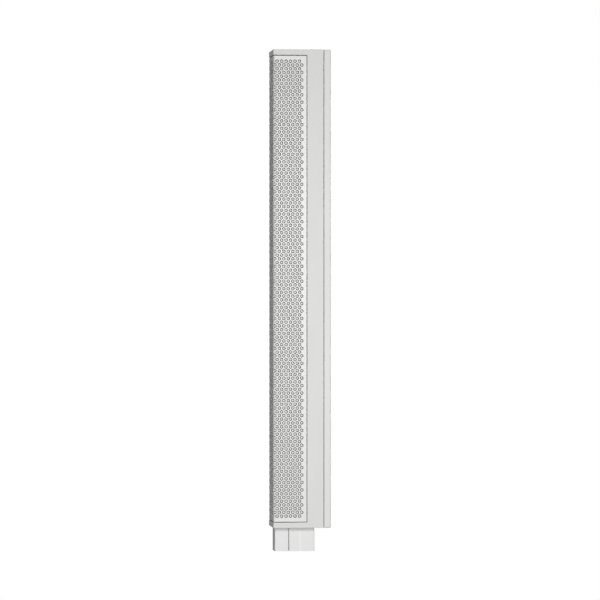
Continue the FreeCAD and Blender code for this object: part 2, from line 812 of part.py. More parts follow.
def make_spigot_half(label, front, back, tongue_from=None):
    """One half of the spigot. The half with tongue_from has a tongue that reaches into the other."""
    body = new_body(label)
    half = S.spigot_width / 2
    inner = half - S.spigot_wall
    corner = front if tongue_from is None else back
    outline = new_sketch(body, f"{label}_outline", "XY_Plane", spigot_bottom)
    draw_rectangle(outline, -half, half, front, back)
    pad(body, f"{label}_block", outline, S.spigot_length - S.gasket_thickness)
    round_edges(
        body,
        f"{label}_corners",
        S.spigot_corner_radius,
        lambda edge: runs_upright(edge) and all_at(edge, "y", corner.value),
    )
    hollow = new_sketch(body, f"{label}_hollow", "XY_Plane", spigot_bottom)
    if tongue_from is None:
        draw_rectangle(hollow, -inner, inner, front + S.spigot_wall, back + S.spigot_seam_gap)
    else:
        draw_rectangle(hollow, -inner, inner, front - S.spigot_seam_gap, back - S.spigot_wall)
    hollow_height = S.spigot_length - S.gasket_thickness - S.spigot_top_plate
    pocket(body, f"{label}_inside", hollow, hollow_height, Reversed=True)
    if tongue_from is not None:
        tongue_bottom = connector_top + S.connector_clearance
        tongue = new_sketch(body, f"{label}_tongue_outline", "XY_Plane", tongue_bottom)
        reach = tongue_from - S.spigot_tongue_length
        outer = inner - S.connector_clearance
        for side in (-1, 1):
            near, far = side * (outer - S.spigot_tongue_thickness), side * outer
            draw_rectangle(tongue, *((near, far) if side > 0 else (far, near)), reach, front + S.spigot_wall)
        height = spigot_top - S.spigot_top_plate - tongue_bottom
        pad(body, f"{label}_tongue", tongue, height)
        roots = new_sketch(body, f"{label}_root_outline", "XY_Plane", tongue_bottom)
        for side in (-1, 1):
            near, far = side * (outer - S.spigot_tongue_thickness), side * (half - S.spigot_wall / 2)
            draw_rectangle(
                roots, *((near, far) if side > 0 else (far, near)), front, front + S.spigot_wall
            )
        pad(body, f"{label}_roots", roots, height)
        rib = new_sketch(body, f"{label}_rib_outline", "XY_Plane", spigot_bottom)
        place_y = spigot_front + S.spigot_rib_setback
        for side in (-1, 1):
            near, far = side * (half - S.spigot_wall / 2), side * (half + S.spigot_rib_height)
            draw_rectangle(
                rib, *((near, far) if side > 0 else (far, near)), place_y, place_y + S.spigot_rib_width
            )
        pad(body, f"{label}_rib", rib, S.spigot_length - S.gasket_thickness)
    end = -1 if tongue_from is None else 1
    pillar = new_sketch(body, f"{label}_pillar_outline", "XY_Plane", connector_top)
    hole = new_sketch(body, f"{label}_hole_outline", "XY_Plane", connector_top)
    for side in (-1, 1):
        place_x, place_y = side * S.spigot_screw_side, end * spigot_screw_reach
        draw_circle(pillar, place_x, place_y, S.spigot_pillar_radius)
        draw_circle(hole, place_x, place_y, S.spigot_screw_hole_radius)
    pillar_height = spigot_top - connector_top
    pad(body, f"{label}_pillars", pillar, pillar_height)
    pocket(body, f"{label}_screw_holes", hole, pillar_height, Reversed=True)
    if tongue_from is not None:
        passage = new_sketch(body, f"{label}_passage", "XY_Plane", spigot_top - S.spigot_top_plate)
        draw_circle(passage, 0, S.wire_hole_setback, S.wire_hole_radius)
        pocket(body, f"{label}_wire_passage", passage, S.spigot_top_plate, Reversed=True)
    return body


def make_spigot_gasket():
    body = new_body("spigot_gasket")
    outline = new_sketch(body, "gasket_outline", "XY_Plane", -S.gasket_thickness)
    half, reach = S.spigot_width / 2 - S.gasket_inset, spigot_depth / 2 - S.gasket_inset
    draw_rectangle(outline, -half, half, -reach, reach)
    draw_circle(outline, 0, S.wire_hole_setback, S.wire_hole_radius)
    for side in (-1, 1):
        for end in (-1, 1):
            draw_circle(
                outline, side * S.spigot_screw_side, end * spigot_screw_reach, S.spigot_screw_hole_radius
            )
    pad(body, "gasket_sheet", outline, S.gasket_thickness)
    return body


def contact_places():
    """The Y place of each contact blade, evenly spaced about the spigot's centre."""
    count = int(S.contact_count.value)
    return [(number - (count - 1) / 2) * S.contact_pitch for number in range(count)]


def make_connector_housing():
    body = new_body("connector_housing")
    half = S.spigot_width / 2 - S.spigot_wall - S.connector_clearance
    reach = spigot_depth / 2 - S.spigot_wall - S.connector_clearance
    outline = new_sketch(body, "connector_outline", "XY_Plane", connector_bottom)
    draw_rectangle(outline, -half, half, -reach, reach)
    pad(body, "connector_plate", outline, S.connector_thickness)
    slots = new_sketch(body, "contact_slot_outline", "XY_Plane", connector_bottom)
    slot_half = S.contact_width / 2 + S.contact_clearance
    slot_depth = S.contact_thickness / 2 + S.contact_clearance
    for centre in contact_places():
        draw_rectangle(slots, -slot_half, slot_half, centre - slot_depth, centre + slot_depth)
    pocket(body, "contact_slots", slots, S.connector_thickness, Reversed=True)
    holes = new_sketch(body, "connector_hole_outline", "XY_Plane", connector_bottom)
    recesses = new_sketch(body, "connector_recess_outline", "XY_Plane", connector_bottom)
    for side in (-1, 1):
        for end in (-1, 1):
            place_x, place_y = side * S.spigot_screw_side, end * spigot_screw_reach
            draw_circle(holes, place_x, place_y, S.spigot_screw_hole_radius)
            draw_circle(recesses, place_x, place_y, S.spigot_screw_recess_radius)
    pocket(body, "connector_screw_holes", holes, S.connector_thickness, Reversed=True)
    pocket(body, "connector_screw_recesses", recesses, S.spigot_screw_recess_depth, Reversed=True)
    return body


def make_connector_contacts():
    blades = []
    for number, centre in enumerate(contact_places(), start=1):
        blade = block(f"contact_{number}", S.contact_width, S.contact_thickness, S.contact_height)
        blades.append(place(blade, -S.contact_width / 2, centre - S.contact_thickness / 2, contact_bottom))
    return group("connector_contacts", blades)


def make_spigot_screws():
    screws = []
    seat = connector_bottom + S.spigot_screw_recess_depth
    for side in (-1, 1):
        for end in (-1, 1):
            one = screw(
                f"spigot_screw_{'left' if side < 0 else 'right'}_{'front' if end < 0 else 'rear'}",
                S.spigot_screw_head_radius,
                S.spigot_screw_head_height,
                S.spigot_screw_radius,
                S.spigot_screw_bite - seat,
            )
            screws.append(place(one, side * S.spigot_screw_side, end * spigot_screw_reach, seat))
    return group("spigot_screws", screws)


# Drivers: drawn once about their own axis, radius outwards and depth backwards from the baffle's face


def driver_height(number):
    return first_driver + (number - 1) * driver_pitch


def at_driver(thing, number):
    return place(thing, 0, baffle_face, driver_height(number))


def turned_piece(label, corners, arcs=None):
    """A piece of revolution about the driver's axis."""
    body = new_body(label)
    profile = new_sketch(body, f"{label}_profile", "XY_Plane")
    draw_outline(profile, corners, arcs)
    revolve(body, f"{label}_revolution", profile)
    return body


def make_basket(number):
    flange_back = -S.gasket_ring_thickness
    flange_front = flange_back - S.flange_thickness
    base_top = S.basket_base_depth - S.basket_base_thickness
    shelf_top = base_top - S.spider_shelf_height
    body = turned_piece(
        f"driver_{number}_basket",
        [
            (flange_inner_radius, flange_front),
            (flange_radius, flange_front),
            (flange_radius, flange_back),
            (basket_mouth_radius, flange_back),
            (basket_base_radius, shelf_top),
            (basket_base_radius, S.basket_base_depth),
            (S.basket_bore_radius, S.basket_base_depth),
            (S.basket_bore_radius, base_top),
            (spider_shelf_radius, base_top),
            (spider_shelf_radius, shelf_top),
            (basket_inner_radius, shelf_top),
            (flange_inner_radius, flange_back),
        ],
    )
    window = new_sketch(body, f"basket_{number}_window", "XY_Plane")
    draw_rectangle(window, spider_shelf_radius, flange_radius, S.window_start, S.window_end)
    windows = pocket(body, f"basket_{number}_windows", window, S.window_width, Midplane=True)
    pattern = body.newObject("PartDesign::PolarPattern", f"basket_{number}_window_ring")
    pattern.Originals = [windows]
    pattern.Axis = (window, ["V_Axis"])
    pattern.Occurrences = 4
    body.Tip = pattern
    document.recompute()
    tab = new_sketch(body, f"basket_{number}_tab_outline", "XZ_Plane", -base_top)
    draw_rectangle(tab, -S.tab_width / 2, S.tab_width / 2, basket_inner_radius, tab_reach)
    pad(body, f"basket_{number}_tab", tab, S.tab_thickness)
    holes = new_sketch(body, f"basket_{number}_hole_outline", "XZ_Plane", -flange_front)
    for side in (-1, 1):
        for up in (-1, 1):
            draw_circle(holes, side * driver_screw_reach, up * driver_screw_reach, S.driver_screw_hole_radius)
    pocket(body, f"basket_{number}_holes", holes, S.flange_thickness)
    return at_driver(body, number)


def make_motor(number):
    """The magnet between its top plate and the yoke, whose pole stands in the voice coil."""
    name = f"driver_{number}"
    plate_start = S.basket_base_depth
    magnet_start = plate_start + S.plate_thickness
    yoke_start = magnet_start + S.magnet_thickness
    plate = cut(
        f"{name}_plate",
        place(cylinder(f"{name}_plate_disc", plate_radius, S.plate_thickness), z=plate_start),
        place(cylinder(f"{name}_plate_bore", gap_outer_radius, S.plate_thickness), z=plate_start),
    )
    magnet = cut(
        f"{name}_magnet",
        place(cylinder(f"{name}_magnet_disc", magnet_radius, S.magnet_thickness), z=magnet_start),
        place(cylinder(f"{name}_magnet_bore", S.magnet_bore_radius, S.magnet_thickness), z=magnet_start),
    )
    yoke = joined(
        f"{name}_yoke",
        place(cylinder(f"{name}_yoke_disc", plate_radius, S.plate_thickness), z=yoke_start),
        place(cylinder(f"{name}_pole", pole_radius, yoke_start - plate_start), z=plate_start),
    )
    motor = turn(group(f"{name}_motor", [plate, magnet, yoke]), X_AXIS, -90)
    return at_driver(motor, number)


def cone_front_depth(radius):
    """The depth of the cone's front face at a radius."""
    slope = (S.cone_neck_depth - S.cone_edge_depth) / (cone_radius - S.former_radius)
    return S.cone_edge_depth + (cone_radius - radius) * slope


def sphere_radius(chord_half, rise):
    """The radius of the arc that rises by rise over half its chord."""
    return (chord_half * chord_half + rise * rise) / (2 * rise)


def make_cone(number):
    """Cone, dust cap, voice-coil former and winding: everything that the coil drives."""
    inside = S.former_radius - S.former_thickness
    cap_edge = cone_front_depth(S.cap_radius)
    cap_under = S.cap_front_depth + S.cap_thickness
    under_edge = cap_under + (cap_edge - S.cap_front_depth) / 2
    body = turned_piece(
        f"driver_{number}_cone",
        [
            (0, S.cap_front_depth),
            (S.cap_radius, cap_edge),
            (cone_radius, S.cone_edge_depth),
            (cone_radius, S.cone_edge_depth + S.cone_thickness),
            (S.former_radius, S.cone_neck_depth + S.cone_thickness),
            (S.former_radius, S.winding_start_depth),
            (S.former_radius + S.winding_thickness, S.winding_start_depth),
            (S.former_radius + S.winding_thickness, S.winding_end_depth),
            (S.former_radius, S.winding_end_depth),
            (S.former_radius, S.former_end_depth),
            (inside, S.former_end_depth),
            (inside, under_edge),
            (0, cap_under),
        ],
        arcs={
            0: -sphere_radius(S.cap_radius, cap_edge - S.cap_front_depth),
            11: sphere_radius(inside, under_edge - cap_under),
        },
    )
    return at_driver(body, number)


def make_surround(number):
    """The rubber half-roll, from the lip on the flange to the skirt on the cone's edge."""
    seat = -(S.gasket_ring_thickness + S.flange_thickness)
    face = seat - S.surround_thickness
    under = S.roll_radius - S.surround_thickness
    body = turned_piece(
        f"driver_{number}_surround",
        [
            (basket_mouth_radius, seat),
            (basket_mouth_radius, face),
            (roll_centre_radius + S.roll_radius, face),
            (roll_centre_radius, face - S.roll_radius),
            (roll_centre_radius - S.roll_radius, face),
            (cone_radius - 2 * S.surround_thickness, S.cone_edge_depth),
            (cone_radius - S.surround_thickness, S.cone_edge_depth),
            (roll_centre_radius - under, seat),
            (roll_centre_radius, seat - under),
            (roll_centre_radius + under, seat),
        ],
        arcs={2: S.roll_radius, 3: S.roll_radius, 7: -under, 8: -under},
    )
    return at_driver(body, number)


def make_spider(number):
    """The suspension disc between the basket's shelf and the former."""
    shelf = S.basket_base_depth - S.basket_base_thickness - S.spider_shelf_height
    face = shelf - S.spider_thickness
    body = turned_piece(
        f"driver_{number}_spider",
        [
            (spider_outer_radius, shelf),
            (spider_outer_radius, face),
            (spider_lip_radius, face),
            (S.former_radius, face - S.spider_rise),
            (S.former_radius, shelf - S.spider_rise),
            (spider_lip_radius, shelf),
        ],
    )
    return at_driver(body, number)


def make_driver_gaskets():
    rings = []
    for number in range(1, int(S.driver_count.value) + 1):
        name = f"gasket_ring_{number}"
        thickness = S.gasket_ring_thickness
        disc = cylinder(f"{name}_disc", flange_radius, thickness)
        bore = cylinder(f"{name}_bore", baffle_hole_radius, thickness)
        holes = [
            place(
                cylinder(f"{name}_hole_{side + 1}_{up + 1}", S.driver_screw_hole_radius, thickness),
                side * driver_screw_reach,
                up * driver_screw_reach,
            )
            for side in (-1, 1)
            for up in (-1, 1)
        ]
        ring = turn(cut(name, disc, joined(f"{name}_openings", bore, *holes)), X_AXIS, 90)
        rings.append(at_driver(ring, number))
    return group("driver_gaskets", rings)


def make_driver_screws():
    screws = []
    seat = baffle_face - S.gasket_ring_thickness - S.flange_thickness
    for number in range(1, int(S.driver_count.value) + 1):
        for side in (-1, 1):
            for up in (-1, 1):
                one = screw(
                    f"driver_screw_{number}_{'left' if side < 0 else 'right'}_{'low' if up < 0 else 'high'}",
                    S.driver_screw_head_radius,
                    S.driver_screw_head_height,
                    S.driver_screw_radius,
                    driver_screw_length,
                )
                turn(one, X_AXIS, -90)
                height = driver_height(number) + up * driver_screw_reach
                screws.append(place(one, side * driver_screw_reach, seat, height))
    return group("driver_screws", screws)


# Inside the cabinet: the filter board with its parts, the damping foam and the wiring


def make_filter_board():
    body = new_body("filter_board")
    outline = new_sketch(body, "board_outline", "XZ_Plane", -board_face)
    high = S.board_bottom + S.board_height
    draw_rectangle(outline, -board_half_width, board_half_width, S.board_bottom, high)
    for x, z in board_hole_places():
        draw_circle(outline, x, z, S.peg_hole_radius)
    pad(body, "board_sheet", outline, S.board_thickness, Reversed=True)
    return body


def make_filter_coil():
    solid = cut(
        "coil_ring",
        cylinder("coil_disc", S.coil_radius, S.coil_height),
        cylinder("coil_bore", S.coil_bore_radius, S.coil_height),
    )
    solid.Label = "filter_coil"
    turn(solid, X_AXIS, 90)
    return place(solid, 0, board_face, S.board_bottom + S.board_height / 2 + S.coil_radius)


def make_filter_capacitors():
    cans = []
    for side in (-1, 1):
        can = cylinder(f"capacitor_{'left' if side < 0 else 'right'}", S.capacitor_radius, S.capacitor_length)
        sideways = side * (S.capacitor_radius + S.capacitor_gap / 2)
        low = S.board_bottom + S.post_inset
        cans.append(place(can, sideways, board_face - S.capacitor_radius, low))
    return group("filter_capacitors", cans)


def make_damping_foam():
    body = new_body("damping_foam")
    outline = new_sketch(body, "foam_outline", "XZ_Plane", -(body_back - S.cover_wall))
    high = S.body_height - S.foam_top_distance
    draw_rectangle(outline, -foam_half_width, foam_half_width, S.foam_bottom, high)
    pad(body, "foam_pad", outline, S.foam_thickness)
    return body


def rounded_path(points, share=0.45):
    """Straight runs joined by tangent arcs, each of which takes a share of the shorter run it joins."""
    edges = []
    start = points[0]
    for before, corner, after in zip(points, points[1:], points[2:]):
        arriving, leaving = (corner - before), (after - corner)
        half_turn = arriving.getAngle(leaving) / 2
        taken = share * min(arriving.Length, leaving.Length)
        radius = taken / math.tan(half_turn)
        arriving.normalize()
        leaving.normalize()
        tangent_in, tangent_out = corner - arriving * taken, corner + leaving * taken
        towards_centre = (leaving - arriving).normalize()
        to_centre = radius / math.cos(half_turn)
        middle = corner + towards_centre * (to_centre - radius)
        edges.append(Part.LineSegment(start, tangent_in).toShape())
        edges.append(Part.Arc(tangent_in, middle, tangent_out).toShape())
        start = tangent_out
    edges.append(Part.LineSegment(start, points[-1]).toShape())
    return Part.Wire(edges)


def make_wiring_loom():
    """The loom rises from the connector, bends back behind the drivers and feeds a pair of leads to each."""
    heights = [
        contact_bottom + S.contact_height,
        S.loom_straight_height,
        S.loom_bend_height,
        S.body_height - S.loom_top_distance,
    ]
    setbacks = [S.wire_hole_setback, S.wire_hole_setback, loom_place, loom_place]
    route = [V(0, setback.value, height.value) for setback, height in zip(setbacks, heights)]
    path = rounded_path(route)
    section = Part.Wire([Part.makeCircle(S.loom_radius.value, route[0], Z_AXIS)])
    trunk = document.addObject("Part::Feature", "loom_trunk")
    trunk.Shape = path.makePipeShell([section], True, False)
    solids = [trunk]
    tab_back = baffle_face + S.basket_base_depth - S.basket_base_thickness
    for number in range(1, int(S.driver_count.value) + 1):
        for side in (-1, 1):
            name = f"lead_{number}_{'left' if side < 0 else 'right'}"
            lead = cylinder(name, S.lead_radius, loom_place - tab_back)
            turn(lead, X_AXIS, -90)
            height = driver_height(number) + tab_reach - S.lead_radius
            solids.append(place(lead, side * (S.loom_radius + S.lead_radius), tab_back, height))
    return group("wiring_loom", solids)


def main():
    pieces = [
        make_front_shell(),
        make_rear_cover(),
        make_rear_cover_seal(),
        make_rear_cover_screws(),
        make_grille(),
        make_grille_cloth(),
        make_grille_foam_strips(),
        make_spigot_half("spigot_front_half", spigot_front, seam_centre - S.spigot_seam_gap / 2),
        make_spigot_half(
            "spigot_rear_half",
            seam_centre + S.spigot_seam_gap / 2,
            spigot_depth / 2,
            tongue_from=seam_centre - S.spigot_seam_gap / 2,
        ),
        make_spigot_gasket(),
        make_spigot_screws(),
        make_connector_housing(),
        make_connector_contacts(),
        make_driver_gaskets(),
        make_driver_screws(),
        make_filter_board(),
        make_filter_coil(),
        make_filter_capacitors(),
        make_damping_foam(),
        make_wiring_loom(),
    ]
    for number in range(1, int(S.driver_count.value) + 1):
        for make in (make_basket, make_motor, make_cone, make_surround, make_spider):
            pieces.append(make(number))
    document.recompute()

    failed = [thing.Name for thing in document.Objects if {"Invalid", "Error"} & set(thing.State)]
    failed += [piece.Label for piece in pieces if piece.Shape.isNull() or not piece.Shape.isValid()]
    if failed:
        raise RuntimeError(f"not built: {failed}")
    os.makedirs("parts", exist_ok=True)
    for piece in pieces:
        piece.Shape.exportStep(f"parts/{piece.Label}.step")
    print(f"{len(pieces)} sub-parts written")


main()
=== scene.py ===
"""The finish of a slim white column loudspeaker: every visible surface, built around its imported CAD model."""

import math

import bmesh
import bpy
from mathutils import Matrix, Vector


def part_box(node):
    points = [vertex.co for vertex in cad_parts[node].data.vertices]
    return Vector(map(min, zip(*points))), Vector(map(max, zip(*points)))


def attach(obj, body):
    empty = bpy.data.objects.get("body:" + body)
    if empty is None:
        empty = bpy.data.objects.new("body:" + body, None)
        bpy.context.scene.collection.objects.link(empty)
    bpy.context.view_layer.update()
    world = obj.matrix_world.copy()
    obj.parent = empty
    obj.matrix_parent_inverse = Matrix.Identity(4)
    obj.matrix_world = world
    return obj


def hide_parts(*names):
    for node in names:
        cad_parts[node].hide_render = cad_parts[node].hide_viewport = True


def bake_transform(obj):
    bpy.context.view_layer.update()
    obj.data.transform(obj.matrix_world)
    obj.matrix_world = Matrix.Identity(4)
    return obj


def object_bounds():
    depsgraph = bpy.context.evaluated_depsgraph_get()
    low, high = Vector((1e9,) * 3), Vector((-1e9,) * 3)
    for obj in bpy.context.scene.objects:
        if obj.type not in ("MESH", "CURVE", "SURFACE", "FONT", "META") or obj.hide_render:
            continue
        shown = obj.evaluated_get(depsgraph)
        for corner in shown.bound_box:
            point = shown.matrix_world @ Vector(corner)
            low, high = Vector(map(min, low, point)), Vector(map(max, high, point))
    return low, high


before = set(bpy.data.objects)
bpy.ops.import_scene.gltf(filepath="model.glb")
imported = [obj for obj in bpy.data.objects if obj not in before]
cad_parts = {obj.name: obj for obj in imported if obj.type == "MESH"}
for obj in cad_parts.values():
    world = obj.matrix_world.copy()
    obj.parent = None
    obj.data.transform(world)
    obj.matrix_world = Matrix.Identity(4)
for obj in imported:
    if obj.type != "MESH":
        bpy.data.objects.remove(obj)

cad_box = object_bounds()


# The stage: the column is seen level and almost square on to its side, through a long lens, against pure white. The
# pale floor lies well below, as the column stands plugged into another piece. Its faint glow doesn't light anything.

VIEW_AZIMUTH = math.radians(83.8)
VIEW_DISTANCE = 7.4
VIEW_AIM = Vector((0.0, 0.00045, 0.00135))
LENS_MM = 204.0
SENSOR_MM = 36.0
FLOOR_DROP = 1.0
FLOOR_RADIUS = 9.0

low, high = cad_box
middle = (low + high) / 2
towards_camera = Vector((math.sin(VIEW_AZIMUTH), -math.cos(VIEW_AZIMUTH), 0))
camera_data = bpy.data.cameras.new("camera")
camera_data.lens = LENS_MM
camera_data.sensor_width = SENSOR_MM
camera = bpy.data.objects.new("camera", camera_data)
camera.location = middle + VIEW_DISTANCE * towards_camera + VIEW_AIM
camera.rotation_euler = (-towards_camera).to_track_quat("-Z", "Y").to_euler()
bpy.context.scene.collection.objects.link(camera)
bpy.context.scene.camera = camera
bpy.context.scene.view_settings.view_transform = "Standard"


class Value:
    """A number or vector that varies over a surface. Arithmetic on it adds Math nodes to its finish."""

    def __init__(self, finish, socket):
        self.finish = finish
        self.socket = socket

    def math(self, operation, other=0.0):
        return self.finish.add("Math", {"operation": operation}, {0: self, 1: other})

    def __add__(self, other):
        return self.math("ADD", other)

    def __sub__(self, other):
        return self.math("SUBTRACT", other)

    def __rsub__(self, other):
        return -self + other

    def __mul__(self, other):
        return self.math("MULTIPLY", other)

    def __truediv__(self, other):
        return self.math("DIVIDE", other)

    def __neg__(self):
        return self * -1.0

    def __gt__(self, other):
        return self.math("GREATER_THAN", other)

    def __lt__(self, other):
        return self.math("LESS_THAN", other)

    def __abs__(self):
        return self.math("ABSOLUTE")

    def __pow__(self, exponent):
        return self.math("POWER", exponent)

    __radd__ = __add__
    __rmul__ = __mul__

    def sine(self):
        return self.math("SINE")

    def fraction(self):
        return self.math("FRACT")

    def or_less(self, other):
        return self.math("MINIMUM", other)

    def limited(self):
        return self.finish.add("Clamp", {}, {"Value": self})


class Finish:
    """A material being made, with its main shader and the patterns that its pieces share."""

    def __init__(self, name):
        self.material = bpy.data.materials.new(name)
        self.material.use_nodes = True
        self.tree = self.material.node_tree
        self.tree.nodes.clear()
        output = self.tree.nodes.new("ShaderNodeOutputMaterial")
        self.shader = self.tree.nodes.new("ShaderNodeBsdfPrincipled")
        self.tree.links.new(self.shader.outputs["BSDF"], output.inputs["Surface"])

    def add(self, kind, settings, sockets, result=0):
        """One node: its settings, then the values or links of its sockets. Gives one of its outputs."""
        node = self.tree.nodes.new(f"ShaderNode{kind}")
        for key, setting in settings.items():
            setattr(node, key, setting)
        for key, value in sockets.items():
            self.fill(node.inputs[key], value)
        return Value(self, node.outputs[result])

    def fill(self, socket, value):
        if isinstance(value, Value):
            self.tree.links.new(value.socket, socket)
        elif socket.type == "RGBA":
            socket.default_value = (*value, 1.0)
        else:
            socket.default_value = value

    def place(self):
        return self.add("TexCoord", {}, {}, "Object")

    def axes(self, place=None):
        """The three coordinates of a place, in metres."""
        return [self.add("SeparateXYZ", {}, {0: place or self.place()}, axis) for axis in range(3)]

    def noise(self, size, detail=2.0, roughness=0.5, stretch=(1.0, 1.0, 1.0)):
        """Cloudy noise from 0 to 1 whose lumps are about size metres across."""
        stretched = self.add("Mapping", {}, {"Vector": self.place(), "Scale": stretch})
        sockets = {"Vector": stretched, "Scale": 1.0 / size, "Detail": detail, "Roughness": roughness}
        return self.add("TexNoise", {}, sockets)

    def cells(self, size):
        """The distance, from 0 at each cell's centre, in a pattern of cells of a size in metres."""
        return self.add("TexVoronoi", {}, {"Vector": self.place(), "Scale": 1.0 / size})

    def mix(self, share, first, second):
        """A colour between two others."""
        return self.add("Mix", {"data_type": "RGBA", "clamp_factor": True}, {0: share, 6: first, 7: second}, 2)

    def bump(self, height, depth):
        """A bump up to depth metres high from a height of 0 to 1."""
        return self.add("Bump", {}, {"Strength": 1.0, "Distance": depth, "Height": height})

    def paint(self, **inputs):
        """Sets the main shader's sockets, whose names are written as words with underscores."""
        for key, value in inputs.items():
            self.fill(self.shader.inputs[key.replace("_", " ").title().replace("Ior", "IOR")], value)
        return self.material


def dress(names, material):
    """Gives CAD nodes their finish."""
    for name in names:
        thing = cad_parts[name]
        thing.data.materials.clear()
        thing.data.materials.append(material)


def new_piece(name, mesh, material, body=None):
    """A finished mesh becomes a piece of the object, which rides on a CAD body if one is named."""
    mesh.materials.clear()
    mesh.materials.append(material)
    piece = bpy.data.objects.new(name, mesh)
    bpy.context.scene.collection.objects.link(piece)
    if body:
        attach(piece, body)
    return piece


floor_paint = Finish("floor_glow")
floor_paint.paint(
    base_color=floor_paint.mix(floor_paint.noise(0.6, 3.0), (0.22, 0.22, 0.22), (0.24, 0.24, 0.24)),
    roughness=1.0,
    emission_color=(1.0, 1.0, 1.0),
    emission_strength=0.80,
)
floor_mesh = bpy.data.meshes.new("floor")
floor_shape = bmesh.new()
floor_place = Matrix.Translation((0, 0, low.z - FLOOR_DROP))
bmesh.ops.create_circle(floor_shape, cap_ends=True, segments=96, radius=FLOOR_RADIUS, matrix=floor_place)
floor_shape.to_mesh(floor_mesh)
floor_shape.free()
floor_mesh.materials.append(floor_paint.material)
floor = bpy.data.objects.new("floor", floor_mesh)
floor.visible_diffuse = False
floor.visible_glossy = False
bpy.context.scene.collection.objects.link(floor)


# Studio light: the white wall behind is overexposed and the room is dim. One soft box lights the column's right
# side and a low one fills in under its edge. Others reach its front, its top, and its back and left.

WALL_STRENGTH = 1.0
ROOM_STRENGTH = 0.16

world = bpy.data.worlds.new("white_room")
world.use_nodes = True
sky = world.node_tree
sky.nodes.clear()
wall = sky.nodes.new("ShaderNodeBackground")
room = sky.nodes.new("ShaderNodeBackground")
for light, strength in ((wall, WALL_STRENGTH), (room, ROOM_STRENGTH)):
    light.inputs["Color"].default_value = (1, 1, 1, 1)
    light.inputs["Strength"].default_value = strength
ray = sky.nodes.new("ShaderNodeLightPath")
choice = sky.nodes.new("ShaderNodeMixShader")
world_output = sky.nodes.new("ShaderNodeOutputWorld")
sky.links.new(ray.outputs["Is Camera Ray"], choice.inputs["Fac"])
sky.links.new(room.outputs[0], choice.inputs[1])
sky.links.new(wall.outputs[0], choice.inputs[2])
sky.links.new(choice.outputs[0], world_output.inputs["Surface"])
bpy.context.scene.world = world


def soft_box(name, azimuth, elevation, distance, rise, size, watts):
    """A light panel round the column, raised above its middle and facing level or down at its elevation."""
    turn, tilt = math.radians(azimuth), math.radians(elevation)
    data = bpy.data.lights.new(name, "AREA")
    data.shape = "RECTANGLE"
    data.size, data.size_y = size
    data.energy = watts
    light = bpy.data.objects.new(name, data)
    away = Vector((math.cos(tilt) * math.sin(turn), -math.cos(tilt) * math.cos(turn), math.sin(tilt)))
    light.location = middle + distance * away + Vector((0, 0, rise))
    light.rotation_euler = (-away).to_track_quat("-Z", "Y").to_euler()
    light.visible_camera = False
    bpy.context.scene.collection.objects.link(light)


soft_box("right_light", 92, 0, 2.4, 0.30, (0.3, 0.6), 21.5)
soft_box("right_low_light", 90, 0, 2.4, -0.55, (1.0, 1.2), 20.5)
soft_box("front_light", 0, 0, 3.0, 0.0, (1.2, 1.8), 14)
soft_box("back_left_light", 235, 0, 3.0, 0.0, (1.2, 1.8), 56)
soft_box("top_light", 0, 90, 3.0, 0.0, (0.8, 0.8), 15)


# Front shell: one injection moulding in off-white ABS with a fine spark-eroded grain, open at the back. The recess
# that the grille wraps round is painted black as painted shade, so that the gap at the grille's edge looks shaded.

# Where the painted shade in the grille's recess starts, and how ragged its edge is.
RECESS_RIM = 0.0006
RECESS_MARGIN = 0.0023
SHADE_EDGE_FEATHER = 0.0004
# Painted shade: the black put in the grille's recess and along the spigot's seam, where shade falls.
PAINTED_SHADE_BLACK = (0.015, 0.015, 0.015)

grille_low, grille_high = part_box("grille")


def moulded_plastic(name, dark, light, roughness, zones=()):
    """Off-white plastic with an eroded grain, clouds, and smears in its gloss. A zone is a mask and its colour."""
    finish = Finish(name)
    grain = finish.noise(0.0006, 3.0, 0.6)
    clouds = finish.noise(0.16)
    smears = finish.noise(0.045, 3.0, 0.55, stretch=(1.0, 1.0, 0.35))
    colour = finish.mix(clouds * 0.7 + grain * 0.3, dark, light)
    for inside, zone_colour in zones:
        colour = finish.mix(inside(finish), colour, zone_colour)
    return finish.paint(
        base_color=colour,
        roughness=smears * 0.16 + grain * 0.08 + (roughness - 0.12),
        normal=finish.bump(grain, 0.00004),
        specular_ior_level=0.42,
    )


# Painted shade: the mask of the recess behind the grille, painted black so that the gap round the grille looks
# shaded.
def painted_shade_in_grille_recess(finish):
    x, y, z = finish.axes()
    ragged_shade_edge = finish.noise(0.003) * SHADE_EDGE_FEATHER
    inside_sides = abs(x) < grille_high.x - RECESS_RIM - ragged_shade_edge
    behind_front = y > ragged_shade_edge + grille_low.y + RECESS_RIM
    ahead_of_step = y < grille_high.y + RECESS_MARGIN
    between_rails = (z > grille_low.z - RECESS_MARGIN) * (z < grille_high.z + RECESS_MARGIN)
    return inside_sides * behind_front * ahead_of_step * between_rails


SHELL_ZONES = [(painted_shade_in_grille_recess, PAINTED_SHADE_BLACK)]
SHELL_PLASTIC = (0.765, 0.765, 0.757), (0.80, 0.80, 0.795), 0.50
dress(["front_shell"], moulded_plastic("shell_plastic", *SHELL_PLASTIC, SHELL_ZONES))


# Drivers: eight full-range units screwed to the baffle. Each has a foam gasket, a black pressed-steel basket and a
# ferrite motor. These patterns are drawn about each unit's own axis, which repeats up the column.

DRIVERS = range(1, 9)
FLANGE_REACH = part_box("driver_1_basket")[1].x
driver_heights = [sum(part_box(f"driver_{n}_cone"), Vector()).z / 2 for n in DRIVERS]
driver_pitch = driver_heights[1] - driver_heights[0]
basket_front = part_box("driver_1_basket")[0].y
TAG_HEIGHT = 0.0285
TAG_SETBACK = 0.020
RIM_WEAR = 0.0006
PLATE_THICKNESS = 0.0040
TURNING_WAVES = 9000.0
motor_front, motor_back = (corner.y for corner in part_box("driver_1_motor"))


def driver_axes(finish):
    """Sideways, backwards and upwards from the nearest driver's axis, and the distance from that axis."""
    x, y, z = finish.axes()
    up = (((z - driver_heights[0]) / driver_pitch + 0.5).fraction() - 0.5) * driver_pitch
    return x, y, up, (x * x + up * up) ** 0.5


